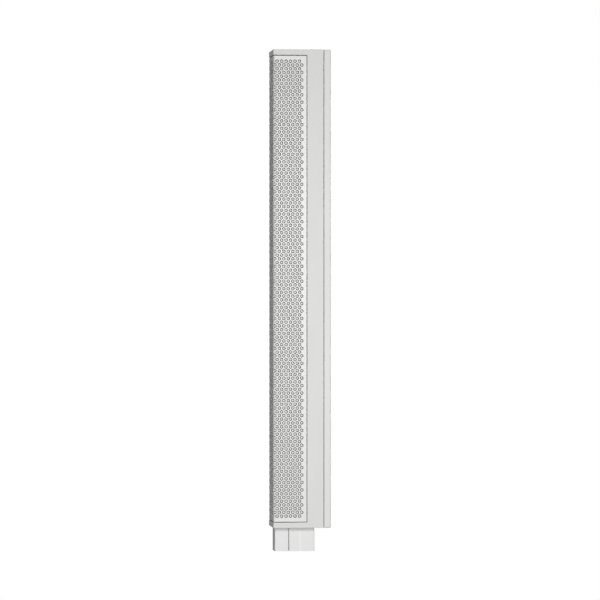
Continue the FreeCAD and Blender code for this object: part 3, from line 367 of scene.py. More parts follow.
def closed_foam(name, colour):
    """Fine foam: small open cells in a dull dark skin."""
    finish = Finish(name)
    cell = finish.cells(0.0012)
    dust = finish.noise(0.03, 3.0)
    pale = tuple(2.2 * part for part in colour)
    return finish.paint(
        base_color=finish.mix(cell * 0.7 + dust * 0.3, colour, pale),
        roughness=dust * 0.1 + 0.86,
        normal=finish.bump(cell, 0.0003),
    )


dress(["driver_gaskets"], closed_foam("gasket_foam", (0.020, 0.020, 0.021)))


def basket_paint():
    """Black stove enamel over pressed steel, with tinned solder tags standing above the basket's rim."""
    finish = Finish("basket_enamel")
    _, y, up, radius = driver_axes(finish)
    runs = finish.noise(0.010, 3.0)
    fine = finish.noise(0.0009)
    tag = (up > TAG_HEIGHT) * (y > basket_front + TAG_SETBACK)
    colour = finish.mix(runs, (0.016, 0.016, 0.018), (0.036, 0.036, 0.040))
    worn_rim = ((radius - (FLANGE_REACH - RIM_WEAR)) * 2500.0).limited() * fine
    colour = finish.mix(worn_rim, colour, (0.12, 0.12, 0.13))
    return finish.paint(
        base_color=finish.mix(tag, colour, (0.62, 0.61, 0.57)),
        metallic=tag,
        roughness=runs * 0.12 + fine * 0.08 + 0.30,
        normal=finish.bump(fine, 0.00004),
    )


dress([f"driver_{n}_basket" for n in DRIVERS], basket_paint())


def motor_metal():
    """A dull, slightly chipped ferrite ring between two zinc-plated steel plates with turned rings on their faces."""
    finish = Finish("motor_metal")
    _, y, _, radius = driver_axes(finish)
    steel = ((y < motor_front + PLATE_THICKNESS) + (y > motor_back - PLATE_THICKNESS)).limited()
    chips = finish.noise(0.0035, 4.0, 0.7)
    turned = (radius * TURNING_WAVES).sine() * 0.5 + 0.5
    passivate = finish.noise(0.012, 3.0)
    zinc = finish.mix(passivate, (0.60, 0.61, 0.62), (0.72, 0.71, 0.66))
    ferrite = finish.mix(chips, (0.030, 0.030, 0.032), (0.085, 0.083, 0.080))
    return finish.paint(
        base_color=finish.mix(steel, ferrite, zinc),
        metallic=steel,
        roughness=steel * -0.42 + chips * 0.15 + 0.70,
        normal=finish.bump(turned * steel * 0.3 + chips * (1.0 - steel), 0.00006),
    )


dress([f"driver_{n}_motor" for n in DRIVERS], motor_metal())


# Cones: dark polypropylene filled with mica flecks, with a smoother dust cap. The former is brown film, and the
# enamelled copper coil is wound round its rear end. The coil moves the lot along the driver's axis.

cone_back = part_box("driver_1_cone")[1].y
COIL_FRONT = 0.0085
COIL_BACK = 0.0009
COIL_INSIDE = 0.0106
COIL_WIRE = 0.00022
FORMER_OUTSIDE = 0.0108
FORMER_VISIBLE = 0.0175
CAP_EDGE = 0.0139
CONE_WAVES = 4200.0


def cone_plastic():
    finish = Finish("cone_polypropylene")
    _, y, _, radius = driver_axes(finish)
    coil = (y > cone_back - COIL_FRONT) * (y < cone_back - COIL_BACK) * (radius > COIL_INSIDE)
    former = (y > cone_back - FORMER_VISIBLE) * (radius < FORMER_OUTSIDE)
    cap = (radius < CAP_EDGE) * (y < cone_back - FORMER_VISIBLE)
    flecks = finish.noise(0.0007, 2.0, 0.7) ** 3.0
    moulding = finish.noise(0.014)
    rings = (radius * CONE_WAVES).sine() * 0.5 + 0.5
    turns = (y * (2 * math.pi / COIL_WIRE)).sine() * 0.5 + 0.5
    body = finish.mix(flecks * 1.6 + moulding * 0.2, (0.030, 0.030, 0.033), (0.135, 0.135, 0.14))
    colour = finish.mix(cap * 0.5, body, (0.020, 0.020, 0.022))
    colour = finish.mix(former, colour, (0.24, 0.11, 0.035))
    return finish.paint(
        base_color=finish.mix(coil, colour, finish.mix(turns, (0.45, 0.16, 0.06), (0.72, 0.32, 0.14))),
        metallic=coil * 0.9,
        roughness=moulding * 0.12 + 0.40 - cap * 0.12 - coil * 0.1,
        normal=finish.bump(rings * (1.0 - cap) * 0.3 + turns * coil, 0.0001),
    )


dress([f"driver_{n}_cone" for n in DRIVERS], cone_plastic())


# Surrounds: half-rolls of moulded butyl rubber, glued to the flange outside and to the cone's edge inside. On the
# speaker the roll stays with the flange and the skirt flexes as the cone moves; here each is one mesh at rest.

LATHE_STEPS = 72
ROLL_STEPS = 14
LIP_DEPTH = 0.0006
ROLL_RADIUS = 0.0030
ROLL_INSET = 0.0045
SKIRT_LEAN = 0.0009
CORNER_BREAK = 0.0001
MOULD_WAVES = 7000.0


def arc_points(centre, radius, start, end, steps):
    """Points along an arc, its angles in degrees."""
    angles = [math.radians(start + (end - start) * step / steps) for step in range(steps + 1)]
    return [(centre[0] + radius * math.cos(angle), centre[1] + radius * math.sin(angle)) for angle in angles]


def turned_mesh(name, outline, height):
    """Turns a closed outline of (radius, depth) points about a driver's axis. Its depths are places along Y."""
    shape = bmesh.new()
    rings = []
    for step in range(LATHE_STEPS):
        angle = 2 * math.pi * step / LATHE_STEPS
        across, up = math.cos(angle), math.sin(angle)
        rings.append([shape.verts.new((radius * across, y, height + radius * up)) for radius, y in outline])
    for step, ring in enumerate(rings):
        following = rings[(step + 1) % LATHE_STEPS]
        for n in range(len(outline)):
            m = (n + 1) % len(outline)
            shape.faces.new((ring[n], ring[m], following[m], following[n]))
    bmesh.ops.recalc_face_normals(shape, faces=shape.faces)
    mesh = bpy.data.meshes.new(name)
    shape.to_mesh(mesh)
    shape.free()
    mesh.shade_smooth()
    mesh.set_sharp_from_angle(angle=math.radians(40))
    return mesh


def surround_outline(number):
    """The lip on the flange, the half-roll and the skirt down to the cone, from the CAD surround's own box."""
    near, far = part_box(f"driver_{number}_surround")
    rim = near.y + ROLL_RADIUS
    seat = rim + LIP_DEPTH
    outer = far.x
    centre = outer - ROLL_INSET
    foot = centre - ROLL_RADIUS - 2 * LIP_DEPTH
    top = arc_points((centre, rim), ROLL_RADIUS, 0, -180, ROLL_STEPS)
    under = arc_points((centre, seat), ROLL_RADIUS - LIP_DEPTH, -180, 0, ROLL_STEPS)
    skirt_front = [
        (centre - ROLL_RADIUS - SKIRT_LEAN * t * (1 + t), rim + (far.y - rim) * t) for t in (0.3, 0.65)
    ]
    skirt_back = [(x + LIP_DEPTH, y) for x, y in reversed(skirt_front)]
    edge = [(foot - LIP_DEPTH, far.y), (foot, far.y)]
    flange = [(outer, seat), (outer, rim + CORNER_BREAK), (outer - CORNER_BREAK, rim)]
    return flange + top + skirt_front + edge + skirt_back + under


def butyl_rubber():
    finish = Finish("butyl_rubber")
    _, _, _, radius = driver_axes(finish)
    bloom = finish.noise(0.007, 3.0, 0.6)
    fine = finish.noise(0.0006)
    mould_lines = (radius * MOULD_WAVES).sine() * 0.5 + 0.5
    return finish.paint(
        base_color=finish.mix(bloom, (0.010, 0.010, 0.010), (0.030, 0.030, 0.031)),
        roughness=bloom * 0.16 + 0.46,
        normal=finish.bump(fine * 0.7 + mould_lines * 0.3, 0.00004),
    )


surround_rubber = butyl_rubber()
for number, height in zip(DRIVERS, driver_heights):
    mesh = turned_mesh(f"surround_{number}", surround_outline(number), height)
    surround = new_piece(f"surround_{number}", mesh, surround_rubber)
    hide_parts(f"driver_{number}_surround")
    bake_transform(surround)


# Spiders: discs of woven cotton pressed into rings and stiffened with resin. The rim is glued to the basket's shelf
# and the inside to the former, and on the speaker the corrugations between them flex; here each is one mesh at rest.

SPIDER_THICKNESS = 0.0006
SPIDER_LIP = 0.0014
SPIDER_BORE = 0.0105
SPIDER_WAVES = 4
SPIDER_STEPS = 48
WAVE_HEIGHT = 0.0007
SPIDER_THREAD = 0.0009


def spider_centre_line(number):
    """Points of the cloth's middle from rim to former, as (radius, place along Y)."""
    near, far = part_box(f"driver_{number}_spider")
    rim, seat = far.x, far.y - SPIDER_THICKNESS / 2
    start = rim - SPIDER_LIP
    points = [(rim, seat)]
    for step in range(SPIDER_STEPS + 1):
        share = step / SPIDER_STEPS
        wave = WAVE_HEIGHT * math.sin(2 * math.pi * SPIDER_WAVES * share) * math.sin(math.pi * share)
        fall = (far.y - near.y - SPIDER_THICKNESS) * share
        points.append((start + (SPIDER_BORE - start) * share, seat - fall + wave))
    return points


def resin_cotton():
    finish = Finish("resin_cotton")
    x, _, up, _ = driver_axes(finish)
    thread = 2 * math.pi / SPIDER_THREAD
    weave = (x * thread).sine() * (up * thread).sine() * 0.5 + 0.5
    resin = finish.noise(0.006, 3.0)
    return finish.paint(
        base_color=finish.mix(weave * 0.5 + resin * 0.5, (0.36, 0.22, 0.085), (0.62, 0.44, 0.21)),
        roughness=0.62 + weave * 0.2,
        normal=finish.bump(weave, 0.00012),
    )


spider_cloth = resin_cotton()
for number, height in zip(DRIVERS, driver_heights):
    line = spider_centre_line(number)
    half = SPIDER_THICKNESS / 2
    outline = [(radius, y - half) for radius, y in line] + [(radius, y + half) for radius, y in reversed(line)]
    spider = new_piece(f"spider_{number}", turned_mesh(f"spider_{number}", outline, height), spider_cloth)
    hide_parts(f"driver_{number}_spider")
    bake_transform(spider)


# Screws: zinc-plated steel with hexagon sockets. Four hold each driver, ten the rear cover and four the spigot.


def zinc_plate():
    finish = Finish("zinc_plated_steel")
    tint = finish.noise(0.004, 3.0)
    scratches = finish.noise(0.0006, 3.0, 0.7, stretch=(1.0, 0.15, 1.0))
    return finish.paint(
        base_color=finish.mix(tint, (0.56, 0.58, 0.62), (0.74, 0.73, 0.68)),
        metallic=1.0,
        roughness=scratches * 0.2 + 0.22,
        normal=finish.bump(scratches, 0.00002),
    )


dress(["driver_screws", "rear_cover_screws", "spigot_screws"], zinc_plate())


# Filter: a glass-laminate board with green solder mask and wide copper tracks stands on the cover's posts. It
# carries an air-cored coil of enamelled copper and two capacitors in dark shrink sleeves.

board_low, board_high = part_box("filter_board")
coil_low, coil_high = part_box("filter_coil")
cans_low, cans_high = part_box("filter_capacitors")
CAN_RADIUS = 0.006
LID_DEPTH = 0.0002
SLEEVE_ROLL = 0.0010
STRIPE_REACH = 0.0014
TRACK_PITCH = 0.0075
MASK_EDGE = 0.0006
WIRE_PITCH = 0.0009


def solder_mask():
    finish = Finish("solder_mask")
    x, y, z = finish.axes()
    wander = finish.noise(0.02, 1.0) * 0.004
    track = abs(((x + wander) / TRACK_PITCH).fraction() - 0.5) < 0.32
    gap = ((z + wander) / (3 * TRACK_PITCH)).fraction() < 0.06
    copper = track * (1.0 - gap)
    cut = (abs(x) > board_high.x - MASK_EDGE) + (z < board_low.z + MASK_EDGE) + (z > board_high.z - MASK_EDGE)
    fine = finish.noise(0.0008)
    mask = finish.mix(copper, (0.010, 0.085, 0.030), (0.030, 0.170, 0.060))
    return finish.paint(
        base_color=finish.mix(cut, mask, finish.mix(fine, (0.36, 0.33, 0.20), (0.48, 0.45, 0.30))),
        roughness=fine * 0.1 + 0.22 + cut.limited() * 0.4,
        normal=finish.bump(copper * 0.8 + fine * 0.2, 0.00008),
        coat_weight=(1.0 - cut.limited()) * 0.5,
    )


def wound_copper():
    finish = Finish("wound_copper")
    x, y, z = finish.axes()
    centre = (coil_low.z + coil_high.z) / 2
    radius = (x * x + (z - centre) ** 2.0) ** 0.5
    winding = 2 * math.pi / WIRE_PITCH
    turns = ((radius * winding).sine() + (y * winding).sine()) * 0.25 + 0.5
    varnish = finish.noise(0.005, 3.0)
    return finish.paint(
        base_color=finish.mix(turns * 0.6 + varnish * 0.4, (0.30, 0.085, 0.030), (0.78, 0.34, 0.14)),
        metallic=0.85,
        roughness=varnish * 0.15 + 0.25,
        normal=finish.bump(turns, 0.0003),
    )


def shrink_sleeve():
    finish = Finish("shrink_sleeve")
    x, y, z = finish.axes()
    sideways = abs(x) - (cans_high.x - CAN_RADIUS)
    axis_y = (cans_low.y + cans_high.y) / 2
    across = y - axis_y
    from_axis = (sideways * sideways + across * across) ** 0.5
    lid = (z > cans_high.z - LID_DEPTH) * (from_axis < CAN_RADIUS - SLEEVE_ROLL)
    stripe = (abs(sideways) < STRIPE_REACH) * (y < axis_y)
    crease = finish.noise(0.003, 3.0, 0.6, stretch=(1.0, 1.0, 0.3))
    sleeve = finish.mix(stripe, (0.012, 0.014, 0.035), (0.42, 0.43, 0.45))
    return finish.paint(
        base_color=finish.mix(lid, sleeve, (0.78, 0.78, 0.79)),
        metallic=lid,
        roughness=crease * 0.15 + 0.26,
        normal=finish.bump(crease, 0.00012),
    )


dress(["filter_board"], solder_mask())
dress(["filter_coil"], wound_copper())
dress(["filter_capacitors"], shrink_sleeve())


# Damping foam: a pad of dark open-cell foam, cut to an egg-crate face and glued to the inside of the rear cover. It
# soaks up the sound from the backs of the cones.

foam_low, foam_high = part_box("damping_foam")
CRATE_PITCH = 0.020
CRATE_STEPS = 5
FOAM_BASE = 0.0055
EDGE_ROUNDING = 0.0035


def egg_crate_mesh():
    """A closed pad with a flat glued face at the back and peaks towards the drivers, its rim pulled in."""
    step = CRATE_PITCH / CRATE_STEPS
    columns = round((foam_high.x - foam_low.x) / step)
    rows = round((foam_high.z - foam_low.z) / step)
    thickness = foam_high.y - foam_low.y
    shape = bmesh.new()
    front, back = [], []
    for row in range(rows + 1):
        z = foam_low.z + (foam_high.z - foam_low.z) * row / rows
        front.append([])
        back.append([])
        for column in range(columns + 1):
            x = foam_low.x + (foam_high.x - foam_low.x) * column / columns
            peak = math.cos(2 * math.pi * x / CRATE_PITCH) * math.cos(2 * math.pi * (z - foam_low.z) / CRATE_PITCH)
            depth = FOAM_BASE + (thickness - FOAM_BASE) * (0.5 + 0.5 * peak)
            rim = min(x - foam_low.x, foam_high.x - x, z - foam_low.z, foam_high.z - z)
            depth -= EDGE_ROUNDING * max(0.0, 1 - rim / (2 * step)) ** 2
            front[-1].append(shape.verts.new((x, foam_high.y - depth, z)))
            back[-1].append(shape.verts.new((x, foam_high.y, z)))
    for row in range(rows):
        for column in range(columns):
            corners = [(row, column), (row, column + 1), (row + 1, column + 1), (row + 1, column)]
            shape.faces.new([front[r][c] for r, c in corners])
            shape.faces.new([back[r][c] for r, c in reversed(corners)])
    rim_places = [(0, c) for c in range(columns)] + [(r, columns) for r in range(rows)]
    rim_places += [(rows, c) for c in range(columns, 0, -1)] + [(r, 0) for r in range(rows, 0, -1)]
    for (r1, c1), (r2, c2) in zip(rim_places, rim_places[1:] + rim_places[:1]):
        shape.faces.new((front[r1][c1], back[r1][c1], back[r2][c2], front[r2][c2]))
    bmesh.ops.recalc_face_normals(shape, faces=shape.faces)
    mesh = bpy.data.meshes.new("damping_pad")
    shape.to_mesh(mesh)
    shape.free()
    mesh.shade_smooth()
    mesh.set_sharp_from_angle(angle=math.radians(60))
    return mesh


pad_foam = closed_foam("damping_foam", (0.022, 0.022, 0.025))
pad = new_piece("damping_pad", egg_crate_mesh(), pad_foam, "cabinet")
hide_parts("damping_foam")


# Wiring: one loom in a braided black sleeve runs from the connector up behind the drivers. Two leads, red and
# black, turn off to each driver's solder tags.

LOOM_REACH = 0.0031
BRAID_WAVES = 4200.0


def braided_sleeve():
    finish = Finish("braided_sleeve")
    x, y, z = finish.axes()
    red = x < -LOOM_REACH
    lead = (abs(x) > LOOM_REACH).limited()
    braid = ((x + y + z) * BRAID_WAVES).sine() * ((x + y - z) * BRAID_WAVES).sine() * 0.5 + 0.5
    scuffs = finish.noise(0.008, 3.0)
    sleeve = finish.mix(braid, (0.010, 0.010, 0.011), (0.045, 0.045, 0.048))
    jacket = finish.mix(red, (0.015, 0.015, 0.016), (0.42, 0.018, 0.014))
    return finish.paint(
        base_color=finish.mix(lead, sleeve, jacket),
        roughness=scuffs * 0.2 + 0.50 - lead * 0.15,
        normal=finish.bump(braid * (1.0 - lead), 0.0002),
    )


dress(["wiring_loom"], braided_sleeve())


# Rear cover: a shallow tray in the same off-white ABS, screwed on from behind over a black rubber seal. A narrow
# shadow groove is left all round between the cover and the shell.


def plain_rubber():
    finish = Finish("black_rubber")
    bloom = finish.noise(0.006, 3.0, 0.6)
    return finish.paint(
        base_color=finish.mix(bloom, (0.014, 0.014, 0.014), (0.030, 0.030, 0.030)),
        roughness=bloom * 0.15 + 0.70,
        normal=finish.bump(finish.noise(0.0008), 0.00003),
    )


dress(["rear_cover_seal", "spigot_gasket"], plain_rubber())
dress(["rear_cover"], moulded_plastic("cover_plastic", (0.80, 0.80, 0.79), (0.83, 0.83, 0.825), 0.48))


# Spigot: two halves of the same plastic meet in a lap joint on each side, darkened along the seam with painted
# shade in black. The sides are polished by being plugged in, and the thin guide rib down each gets a painted
# highlight.

LAP_SHADE_WIDTH = 0.0015
RIB_FACE = 0.0002
lap_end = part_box("spigot_front_half")[1].y
rib_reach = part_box("spigot_rear_half")[1].x


# Painted shade: the rear half is painted black along the lap joint, to darken the seam as its shade would.
def painted_shade_in_lap_joint(finish):
    _, y, _ = finish.axes()
    return y < lap_end + LAP_SHADE_WIDTH


# Painted highlight: the face of the guide rib is painted lighter, as the light's highlight on it.
def painted_highlight_on_guide_rib(finish):
    x, _, _ = finish.axes()
    return abs(x) > rib_reach - RIB_FACE


# The colour of the painted highlight on the guide rib.
PAINTED_HIGHLIGHT_WHITE = (0.94, 0.94, 0.935)
SPIGOT_ZONES = [(painted_shade_in_lap_joint, PAINTED_SHADE_BLACK), (painted_highlight_on_guide_rib, PAINTED_HIGHLIGHT_WHITE)]
SPIGOT_PLASTIC = (0.83, 0.83, 0.825), (0.86, 0.86, 0.855), 0.38
dress(["spigot_front_half"], moulded_plastic("spigot_front_plastic", *SPIGOT_PLASTIC))
dress(["spigot_rear_half"], moulded_plastic("spigot_rear_plastic", *SPIGOT_PLASTIC, SPIGOT_ZONES))


# Connector: a black glass-filled nylon block closes the spigot's end. Four gold-flashed brass blades stand in its
# slots and make contact when the column is plugged in.


def glass_nylon():
    finish = Finish("glass_filled_nylon")
    fibres = finish.noise(0.0016, 3.0, 0.7, stretch=(1.0, 0.2, 1.0))
    bloom = finish.noise(0.012)
    return finish.paint(
        base_color=finish.mix(fibres * 0.6 + bloom * 0.4, (0.014, 0.014, 0.015), (0.052, 0.052, 0.055)),
        roughness=fibres * 0.2 + 0.38,
        normal=finish.bump(fibres, 0.00004),
    )


def gold_flash():
    finish = Finish("gold_flashed_brass")
    wipes = finish.noise(0.0009, 3.0, 0.6, stretch=(1.0, 1.0, 0.08))
    tarnish = finish.noise(0.005, 3.0)
    return finish.paint(
        base_color=finish.mix(tarnish * 0.6 + wipes * 0.2, (0.88, 0.66, 0.28), (0.66, 0.47, 0.20)),
        metallic=1.0,
        roughness=wipes * 0.25 + 0.14,
        normal=finish.bump(wipes, 0.00002),
    )


dress(["connector_housing"], glass_nylon())
dress(["connector_contacts"], gold_flash())


# Grille: one sheet of white powder-coated steel, punched with staggered six-sided holes and folded round the front
# and both sides. Its margins are left plain, and its top edge is trimmed so that it springs in under the rail.

HOLE_PITCH = 0.00973
ROW_PITCH = 0.00806
HOLE_WIDTH = 0.0071
LONG_ROW_HOLES = 23
ROWS = 123
SHEET_THICKNESS = 0.0012
BEND_RADIUS = 0.004
BEND_STEPS = 6
TOP_TRIM = 0.0004
WELD_DISTANCE = HOLE_WIDTH / 1000

half_span = (grille_high.x - grille_low.x) / 2
front_flat = half_span - BEND_RADIUS
bend_length = (BEND_RADIUS - SHEET_THICKNESS / 2) * math.pi / 2
sheet_half = front_flat + bend_length + grille_high.y - grille_low.y - BEND_RADIUS
sheet_rise = (grille_high.z - grille_low.z) / 2
sheet_centre = (grille_high.z + grille_low.z) / 2


def punched_tile():
    """One hole and the metal round it: a flat block of one pitch by one row with a six-sided hole through it."""
    point, flat = HOLE_WIDTH / math.sqrt(3), HOLE_WIDTH / 2
    wide, tall = HOLE_PITCH / 2, ROW_PITCH / 2
    hole = [(0, point), (flat, point / 2), (flat, -point / 2), (0, -point), (-flat, -point / 2), (-flat, point / 2)]
    rim = [(0, tall), (wide, tall), (wide, -tall), (0, -tall), (-wide, -tall), (-wide, tall)]
    shape = bmesh.new()
    near_hole, near_rim, far_hole, far_rim = (
        [shape.verts.new((across, up, depth)) for across, up in ring]
        for ring, depth in ((hole, 0.0), (rim, 0.0), (hole, SHEET_THICKNESS), (rim, SHEET_THICKNESS))
    )
    for n in range(6):
        m = (n + 1) % 6
        shape.faces.new((near_hole[n], near_hole[m], near_rim[m], near_rim[n]))
        shape.faces.new((far_rim[n], far_rim[m], far_hole[m], far_hole[n]))
        shape.faces.new((near_hole[m], near_hole[n], far_hole[n], far_hole[m]))
    mesh = bpy.data.meshes.new("punched_tile")
    shape.to_mesh(mesh)
    shape.free()
    return bpy.data.objects.new("punched_tile", mesh)


def perforation_tree():
    """Nodes that lay a tile on each point of two crossed grids: the long rows, and the short rows between them."""
    tree = bpy.data.node_groups.new("perforation", "GeometryNodeTree")
    inputs = {
        "Tile": ("Object", None),
        "Holes in a long row": ("Int", LONG_ROW_HOLES),
        "Rows": ("Int", ROWS),
        "Hole pitch": ("Float", HOLE_PITCH),
        "Row pitch": ("Float", ROW_PITCH),
        "Coating": ("Material", None),
    }
    keys = {}
    for name, (kind, value) in inputs.items():
        socket = tree.interface.new_socket(name, in_out="INPUT", socket_type=f"NodeSocket{kind}")
        if value is not None:
            socket.default_value = value
        keys[name] = socket.identifier
    tree.interface.new_socket("Sheet", in_out="OUTPUT", socket_type="NodeSocketGeometry")
    entry = tree.nodes.new("NodeGroupInput")

    def node(kind, sockets, result=0):
        made = tree.nodes.new(kind)
        for key, value in sockets.items():
            if isinstance(value, bpy.types.NodeSocket):
                tree.links.new(value, made.inputs[key])
            else:
                made.inputs[key].default_value = value
        return made.outputs[result]

    def number(operation, first, second):
        result = node("ShaderNodeMath", {0: first, 1: second})
        result.node.operation = operation
        return result

    tile = node("GeometryNodeObjectInfo", {"Object": entry.outputs["Tile"]}, "Geometry")
    grids = tree.nodes.new("GeometryNodeJoinGeometry")
    for short in (0, 1):
        across = number("SUBTRACT", entry.outputs["Holes in a long row"], short)
        up = number("MULTIPLY", number("ADD", entry.outputs["Rows"], 2 * short - 1), 0.5)
        width = number("MULTIPLY", number("SUBTRACT", across, 1), entry.outputs["Hole pitch"])
        two_rows = number("MULTIPLY", entry.outputs["Row pitch"], 2)
        height = number("MULTIPLY", number("SUBTRACT", up, 1), two_rows)
        sizes = {"Vertices X": across, "Vertices Y": up, "Size X": width, "Size Y": height}
        points = node("GeometryNodeMeshGrid", sizes)
        tree.links.new(node("GeometryNodeInstanceOnPoints", {"Points": points, "Instance": tile}), grids.inputs[0])
    real = node("GeometryNodeRealizeInstances", {0: grids.outputs[0]})
    welded = node("GeometryNodeMergeByDistance", {0: real, "Distance": WELD_DISTANCE})
    coated = node("GeometryNodeSetMaterial", {"Geometry": welded, "Material": entry.outputs["Coating"]})
    tree.links.new(coated, tree.nodes.new("NodeGroupOutput").inputs[0])
    return tree, keys


def perforated_sheet(coating):
    """The punched area as a flat mesh, worked out by the nodes."""
    tile = punched_tile()
    tree, keys = perforation_tree()
    carrier = bpy.data.objects.new("perforation", bpy.data.meshes.new("perforation"))
    bpy.context.scene.collection.objects.link(carrier)
    modifier = carrier.modifiers.new("perforation", "NODES")
    modifier.node_group = tree
    modifier[keys["Tile"]] = tile
    modifier[keys["Holes in a long row"]] = LONG_ROW_HOLES
    modifier[keys["Rows"]] = ROWS
    modifier[keys["Hole pitch"]] = HOLE_PITCH
    modifier[keys["Row pitch"]] = ROW_PITCH
    modifier[keys["Coating"]] = coating
    mesh = bpy.data.meshes.new_from_object(carrier.evaluated_get(bpy.context.evaluated_depsgraph_get()))
    bpy.data.objects.remove(carrier)
    bpy.data.objects.remove(tile)
    return mesh


def fold_sheet(shape, half, front, radius, thickness):
    """Folds a flat sheet, drawn as (across, up, depth), round the front and both sides."""
    centre_x, centre_y = half - radius, front + radius
    arc = (radius - thickness / 2) * math.pi / 2
    for vertex in shape.verts:
        across, up, depth = vertex.co
        side = math.copysign(1.0, across)
        beyond = abs(across) - centre_x
        reach = radius - depth
        if beyond <= 0:
            x, y = across, front + depth
        elif beyond < arc:
            turn = beyond / arc * math.pi / 2
            x, y = side * (centre_x + reach * math.sin(turn)), centre_y - reach * math.cos(turn)
        else:
            x, y = side * (half - depth), centre_y + beyond - arc
        vertex.co = (x, y, up + sheet_centre)


def score(shape, across=None, up=None):
    """Cuts a flat sheet along an upright or a level line, so that it can fold there."""
    everything = [*shape.verts, *shape.edges, *shape.faces]
    place, normal = ((across, 0, 0), (1, 0, 0)) if up is None else ((0, up, 0), (0, 1, 0))
    bmesh.ops.bisect_plane(shape, geom=everything, plane_co=place, plane_no=normal, dist=1e-7)


def score_bends(shape, start, arc):
    for side in (-1, 1):
        for step in range(BEND_STEPS + 1):
            score(shape, across=side * (start + arc * step / BEND_STEPS))


def folded_mesh(name, shape):
    bmesh.ops.recalc_face_normals(shape, faces=shape.faces)
    mesh = bpy.data.meshes.new(name)
    shape.to_mesh(mesh)
    shape.free()
    mesh.shade_smooth()
    mesh.set_sharp_from_angle(angle=math.radians(30))
    return mesh


def add_plate(shape, outline, outer_edges):
    """A plain bit of the sheet. Only its edges on the sheet's own outline are closed."""
    near = [shape.verts.new((across, up, 0.0)) for across, up in outline]
    far = [shape.verts.new((across, up, SHEET_THICKNESS)) for across, up in outline]
    shape.faces.new(near)
    shape.faces.new(far[::-1])
    for edge in outer_edges:
        following = (edge + 1) % len(outline)
        shape.faces.new((near[following], near[edge], far[edge], far[following]))


def add_side_margins(shape, rise):
    """The plain strips outside the holes, one plate to a row. A short row's plate starts half a pitch further in."""
    for side in (-1, 1):
        edge, first = side * sheet_half, side * LONG_ROW_HOLES * HOLE_PITCH / 2
        for row in range(ROWS):
            bottom, top = row * ROW_PITCH - rise, (row + 1) * ROW_PITCH - rise
            starts = [first] if row % 2 else [first - side * HOLE_PITCH / 2, first]
            lower = [(start, bottom) for start in starts] + [(edge, bottom)]
            upper = [(edge, top)] + [(start, top) for start in reversed(starts)]
            outline, outer = lower + upper, len(starts)
            if side < 0:
                outline, outer = outline[::-1], len(outline) - 2 - outer
            add_plate(shape, outline, [outer])


def add_end_margins(shape, rise):
    """The plain strips above and below the holes, cut at every half pitch to meet the rows' corners."""
    inner = [n * HOLE_PITCH / 2 for n in range(-LONG_ROW_HOLES, LONG_ROW_HOLES + 1)]
    stops = [-sheet_half, *inner, sheet_half]
    for left, right in zip(stops, stops[1:]):
        for bottom, top, outer in ((-sheet_rise, -rise, 0), (rise, sheet_rise - TOP_TRIM, 2)):
            edges = [outer] + [3] * (left == stops[0]) + [1] * (right == stops[-1])
            add_plate(shape, [(left, bottom), (right, bottom), (right, top), (left, top)], edges)


def powder_coat():
    """White powder coat with a faint orange peel, a little glossier than the plastic."""
    finish = Finish("grille_powder_coat")
    peel = finish.noise(0.0014, 2.0, 0.45)
    clouds = finish.noise(0.2)
    return finish.paint(
        base_color=finish.mix(clouds, (0.79, 0.79, 0.785), (0.82, 0.82, 0.815)),
        roughness=peel * 0.12 + 0.30,
        normal=finish.bump(peel, 0.00005),
    )


coating = powder_coat()
grille_shape = bmesh.new()
grille_shape.from_mesh(perforated_sheet(coating))
punched_rise = ROWS * ROW_PITCH / 2
add_side_margins(grille_shape, punched_rise)
add_end_margins(grille_shape, punched_rise)
bmesh.ops.remove_doubles(grille_shape, verts=grille_shape.verts, dist=WELD_DISTANCE)
score_bends(grille_shape, front_flat, bend_length)
fold_sheet(grille_shape, half_span, grille_low.y, BEND_RADIUS, SHEET_THICKNESS)
grille_mesh = folded_mesh("perforated_grille", grille_shape)
grille = new_piece("perforated_grille", grille_mesh, coating, "cabinet")
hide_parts("grille")

dress(["grille_foam_strips"], closed_foam("strip_foam", (0.045, 0.045, 0.048)))


# Acoustic cloth: a thin off-white woven sheet stretched over the inside of the grille. It keeps dust off the
# drivers and makes the holes look pale. A dark ring of painted shade lies under the rim of every hole.

cloth_low, cloth_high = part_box("grille_cloth")
CLOTH_THICKNESS = 0.0008
CLOTH_BEND = BEND_RADIUS - (cloth_low.y - grille_low.y)
CLOTH_LEVELS = 60
THREAD_PITCH = 0.0006
# The painted shade on the cloth starts this far from each hole's centre and is full this far out.
SHADE_RING_START = 0.0018
SHADE_RING_END = 0.0027

cloth_half = (cloth_high.x - cloth_low.x) / 2
cloth_front_flat = cloth_half - CLOTH_BEND
cloth_arc = (CLOTH_BEND - CLOTH_THICKNESS / 2) * math.pi / 2
cloth_reach = cloth_front_flat + cloth_arc + cloth_high.y - cloth_low.y - CLOTH_BEND
cloth_rise = (cloth_high.z - cloth_low.z) / 2


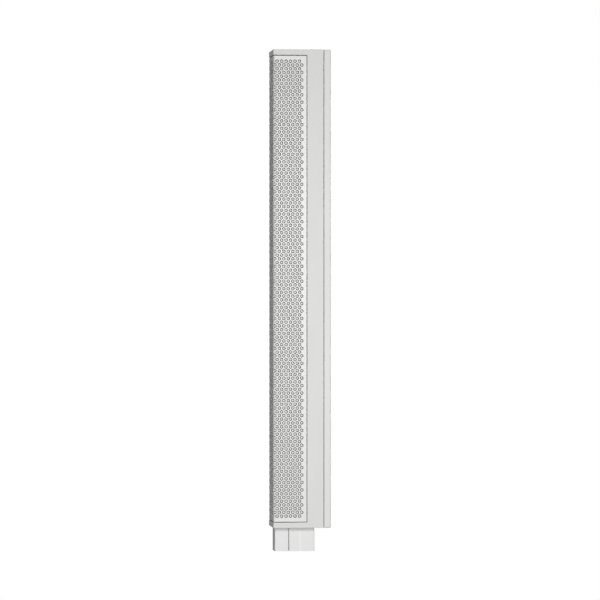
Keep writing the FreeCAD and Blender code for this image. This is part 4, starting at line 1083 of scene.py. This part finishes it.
def cloth_mesh():
    """A closed thin sheet, folded like the grille. Its UV map is the grille's flat pattern, in metres."""
    shape = bmesh.new()
    bmesh.ops.create_cube(shape, size=1.0)
    for vertex in shape.verts:
        across, up, depth = vertex.co
        vertex.co = (across * 2 * cloth_reach, up * 2 * cloth_rise, (depth + 0.5) * CLOTH_THICKNESS)
    score_bends(shape, cloth_front_flat, cloth_arc)
    for level in range(1, CLOTH_LEVELS):
        score(shape, up=cloth_rise * (2 * level / CLOTH_LEVELS - 1))
    pattern = shape.loops.layers.uv.new("pattern")
    for face in shape.faces:
        for loop in face.loops:
            loop[pattern].uv = (on_grille(loop.vert.co.x), loop.vert.co.y)
    fold_sheet(shape, cloth_half, cloth_low.y, CLOTH_BEND, CLOTH_THICKNESS)
    return folded_mesh("acoustic_cloth", shape)


def on_grille(across):
    """How far across the flat grille the same place is, since the cloth's bends are tighter."""
    size = abs(across)
    if size <= cloth_front_flat:
        matched = size
    elif size < cloth_front_flat + cloth_arc:
        matched = front_flat + (size - cloth_front_flat) / cloth_arc * bend_length
    else:
        matched = size - cloth_front_flat - cloth_arc + front_flat + bend_length
    return math.copysign(matched, across)


def from_nearest_hole(across, up, shift):
    """The distance to the nearest hole's centre in one of the grille's two crossed grids."""
    sideways = ((across / HOLE_PITCH + shift + 0.5).fraction() - 0.5) * HOLE_PITCH
    upwards = ((up / (2 * ROW_PITCH) + shift + 0.5).fraction() - 0.5) * (2 * ROW_PITCH)
    return (sideways * sideways + upwards * upwards) ** 0.5


def woven_cloth():
    finish = Finish("acoustic_weave")
    across, up, _ = finish.axes(finish.add("UVMap", {"uv_map": "pattern"}, {}))
    thread = 2 * math.pi / THREAD_PITCH
    weave = (across * thread).sine() * (up * thread).sine() * 0.5 + 0.5
    slubs = finish.noise(0.004, 2.0, 0.6, stretch=(1.0, 1.0, 0.15))
    from_hole = from_nearest_hole(across, up, 0.0).or_less(from_nearest_hole(across, up, 0.5))
    # Painted shade: the cloth darkens towards each hole's rim, where the sheet would shade it.
    hole_rim_shade = ((from_hole - SHADE_RING_START) / (SHADE_RING_END - SHADE_RING_START)).limited() * (slubs * 0.15 + 0.85)
    clean = finish.mix(weave * 0.6 + slubs * 0.4, (0.78, 0.78, 0.77), (0.88, 0.88, 0.87))
    return finish.paint(
        base_color=finish.mix(hole_rim_shade, clean, (0.035, 0.035, 0.035)),
        roughness=weave * 0.1 + 0.85,
        normal=finish.bump(weave, 0.00008),
        sheen_weight=0.3,
        sheen_roughness=0.5,
    )


cloth = new_piece("acoustic_cloth", cloth_mesh(), woven_cloth(), "cabinet")
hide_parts("grille_cloth")
2 * cloth_reach
